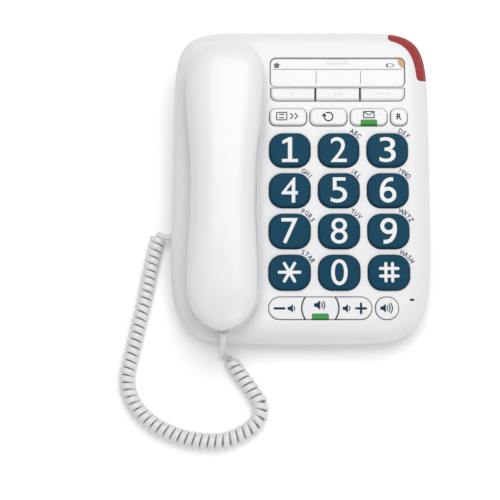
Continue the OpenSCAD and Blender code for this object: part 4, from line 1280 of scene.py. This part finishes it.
handset_white = plastic("handset_white", (0.84, 0.84, 0.85), (0.81, 0.81, 0.825), roughness=0.3,
                        depth=0.000012, Coat_Weight=0.12)
handset_grey = plastic("handset_grey", (0.74, 0.74, 0.755), (0.70, 0.70, 0.72), roughness=0.36)
handset_back = half_shell("handset_back", 1)
handset_front = half_shell("handset_front", -1)
for half in (handset_back, handset_front):
    turn_out(half)
holes = []
for x, y in [(0, 0)] + disc(SOUND_RING_R, 6):
    ear_hole = shifted(disc(EAR_HOLE_R, 20), HANDSET_U + x, EAR_V + y)
    holes.append(prism("ear_hole", ear_hole, HOLE_LOW, HOLE_HIGH))
holes.append(prism("mouth_hole", shifted(disc(MOUTH_HOLE_R, 20), HANDSET_U, MOUTH_V), HOLE_LOW, HOLE_HIGH))
for v in (EAR_END - SCREW_FROM_END, MOUTH_END + SCREW_FROM_END):
    holes.append(prism("screw_well", shifted(disc(SCREW_WELL_R, 28), HANDSET_U, v), 4, 11))
holes.append(prism("plug_hole", shifted(rounded(8.0, 22, 0.5), HANDSET_U, MOUTH_END), 5.6, 12.4))
carve(handset_front, joined("handset_holes", holes))
for half, material, slot_name, node in ((handset_back, handset_white, "white_shell", "handset_top"),
                                        (handset_front, handset_grey, "grey_shell", "handset_bottom")):
    crisp(half, HANDSET_CREASE)
    finished(half, material, node, "handset")

# ---------------------------------------------------------------------------
# Lower housing and the parts inside
# The grey bottom tray with its feet, screws, jacks, battery bay and door, and the board, speaker,
# switches and lamps inside. Black gauze closes the microphone's slot in the face.
# ---------------------------------------------------------------------------
# The lower housing's grey is partly its own colour and partly painted shade: it is made darker to stand in
# for the shade the upper shell casts on it.
grey_shell = plastic("grey_shell", (0.58, 0.58, 0.595), (0.54, 0.54, 0.56), roughness=0.45)
black_plastic = plastic("black_plastic", (0.018, 0.018, 0.02), (0.03, 0.03, 0.032), roughness=0.45)
foot_rubber = plastic("foot_rubber", (0.05, 0.05, 0.052), (0.07, 0.07, 0.072), roughness=0.75, depth=0.00006,
                      scale=1500)
mat_silicone = plastic("mat_silicone", (0.24, 0.26, 0.27), (0.28, 0.30, 0.31), roughness=0.6, depth=0.00003)
board_green = plastic("board_green", (0.02, 0.13, 0.06), (0.03, 0.19, 0.08), roughness=0.4, drift=400,
                      Coat_Weight=0.3)
screw_steel = plastic("screw_steel", (0.55, 0.56, 0.58), (0.48, 0.49, 0.51), roughness=0.3, scale=5000,
                      Metallic=1.0)
cell_wrap = plastic("cell_wrap", (0.15, 0.20, 0.26), (0.12, 0.16, 0.22), roughness=0.3, Coat_Weight=0.4)
clear_plug = plastic("clear_plug", (0.62, 0.66, 0.69), (0.58, 0.62, 0.66), roughness=0.2, depth=0.000005)
lamp_cream = plastic("lamp_cream", (0.85, 0.83, 0.70), (0.80, 0.77, 0.62), roughness=0.3)
GAUZE_TOP = -1.2
printed("sound_slot_gauze", placed([box_line(1.7, 0.6, 0.2, 1.2)], SLOT_U, SLOT_V), GAUZE_TOP, "base",
        black_plastic)
finishes = {
    "bottom_housing": grey_shell, "battery_door": grey_shell, "rubber_feet": foot_rubber,
    "housing_screws": screw_steel, "handset_screws": screw_steel, "battery_contacts": screw_steel,
    "handset_weight": screw_steel, "line_jack": black_plastic, "cord_jack": black_plastic,
    "handset_jack": black_plastic, "loudspeaker": black_plastic, "microphone": black_plastic,
    "receiver": black_plastic, "handset_microphone": black_plastic, "hook_switch": black_plastic,
    "ringer_switch": black_plastic, "hook_plunger": grey_shell, "keypad_board": board_green,
    "key_mat": mat_silicone, "batteries": cell_wrap, "indicator_leds": lamp_cream,
    "handset_plug": clear_plug, "base_plug": clear_plug,
}
for node, finish in finishes.items():
    for slot in bpy.data.objects[node].material_slots:
        slot.material = finish
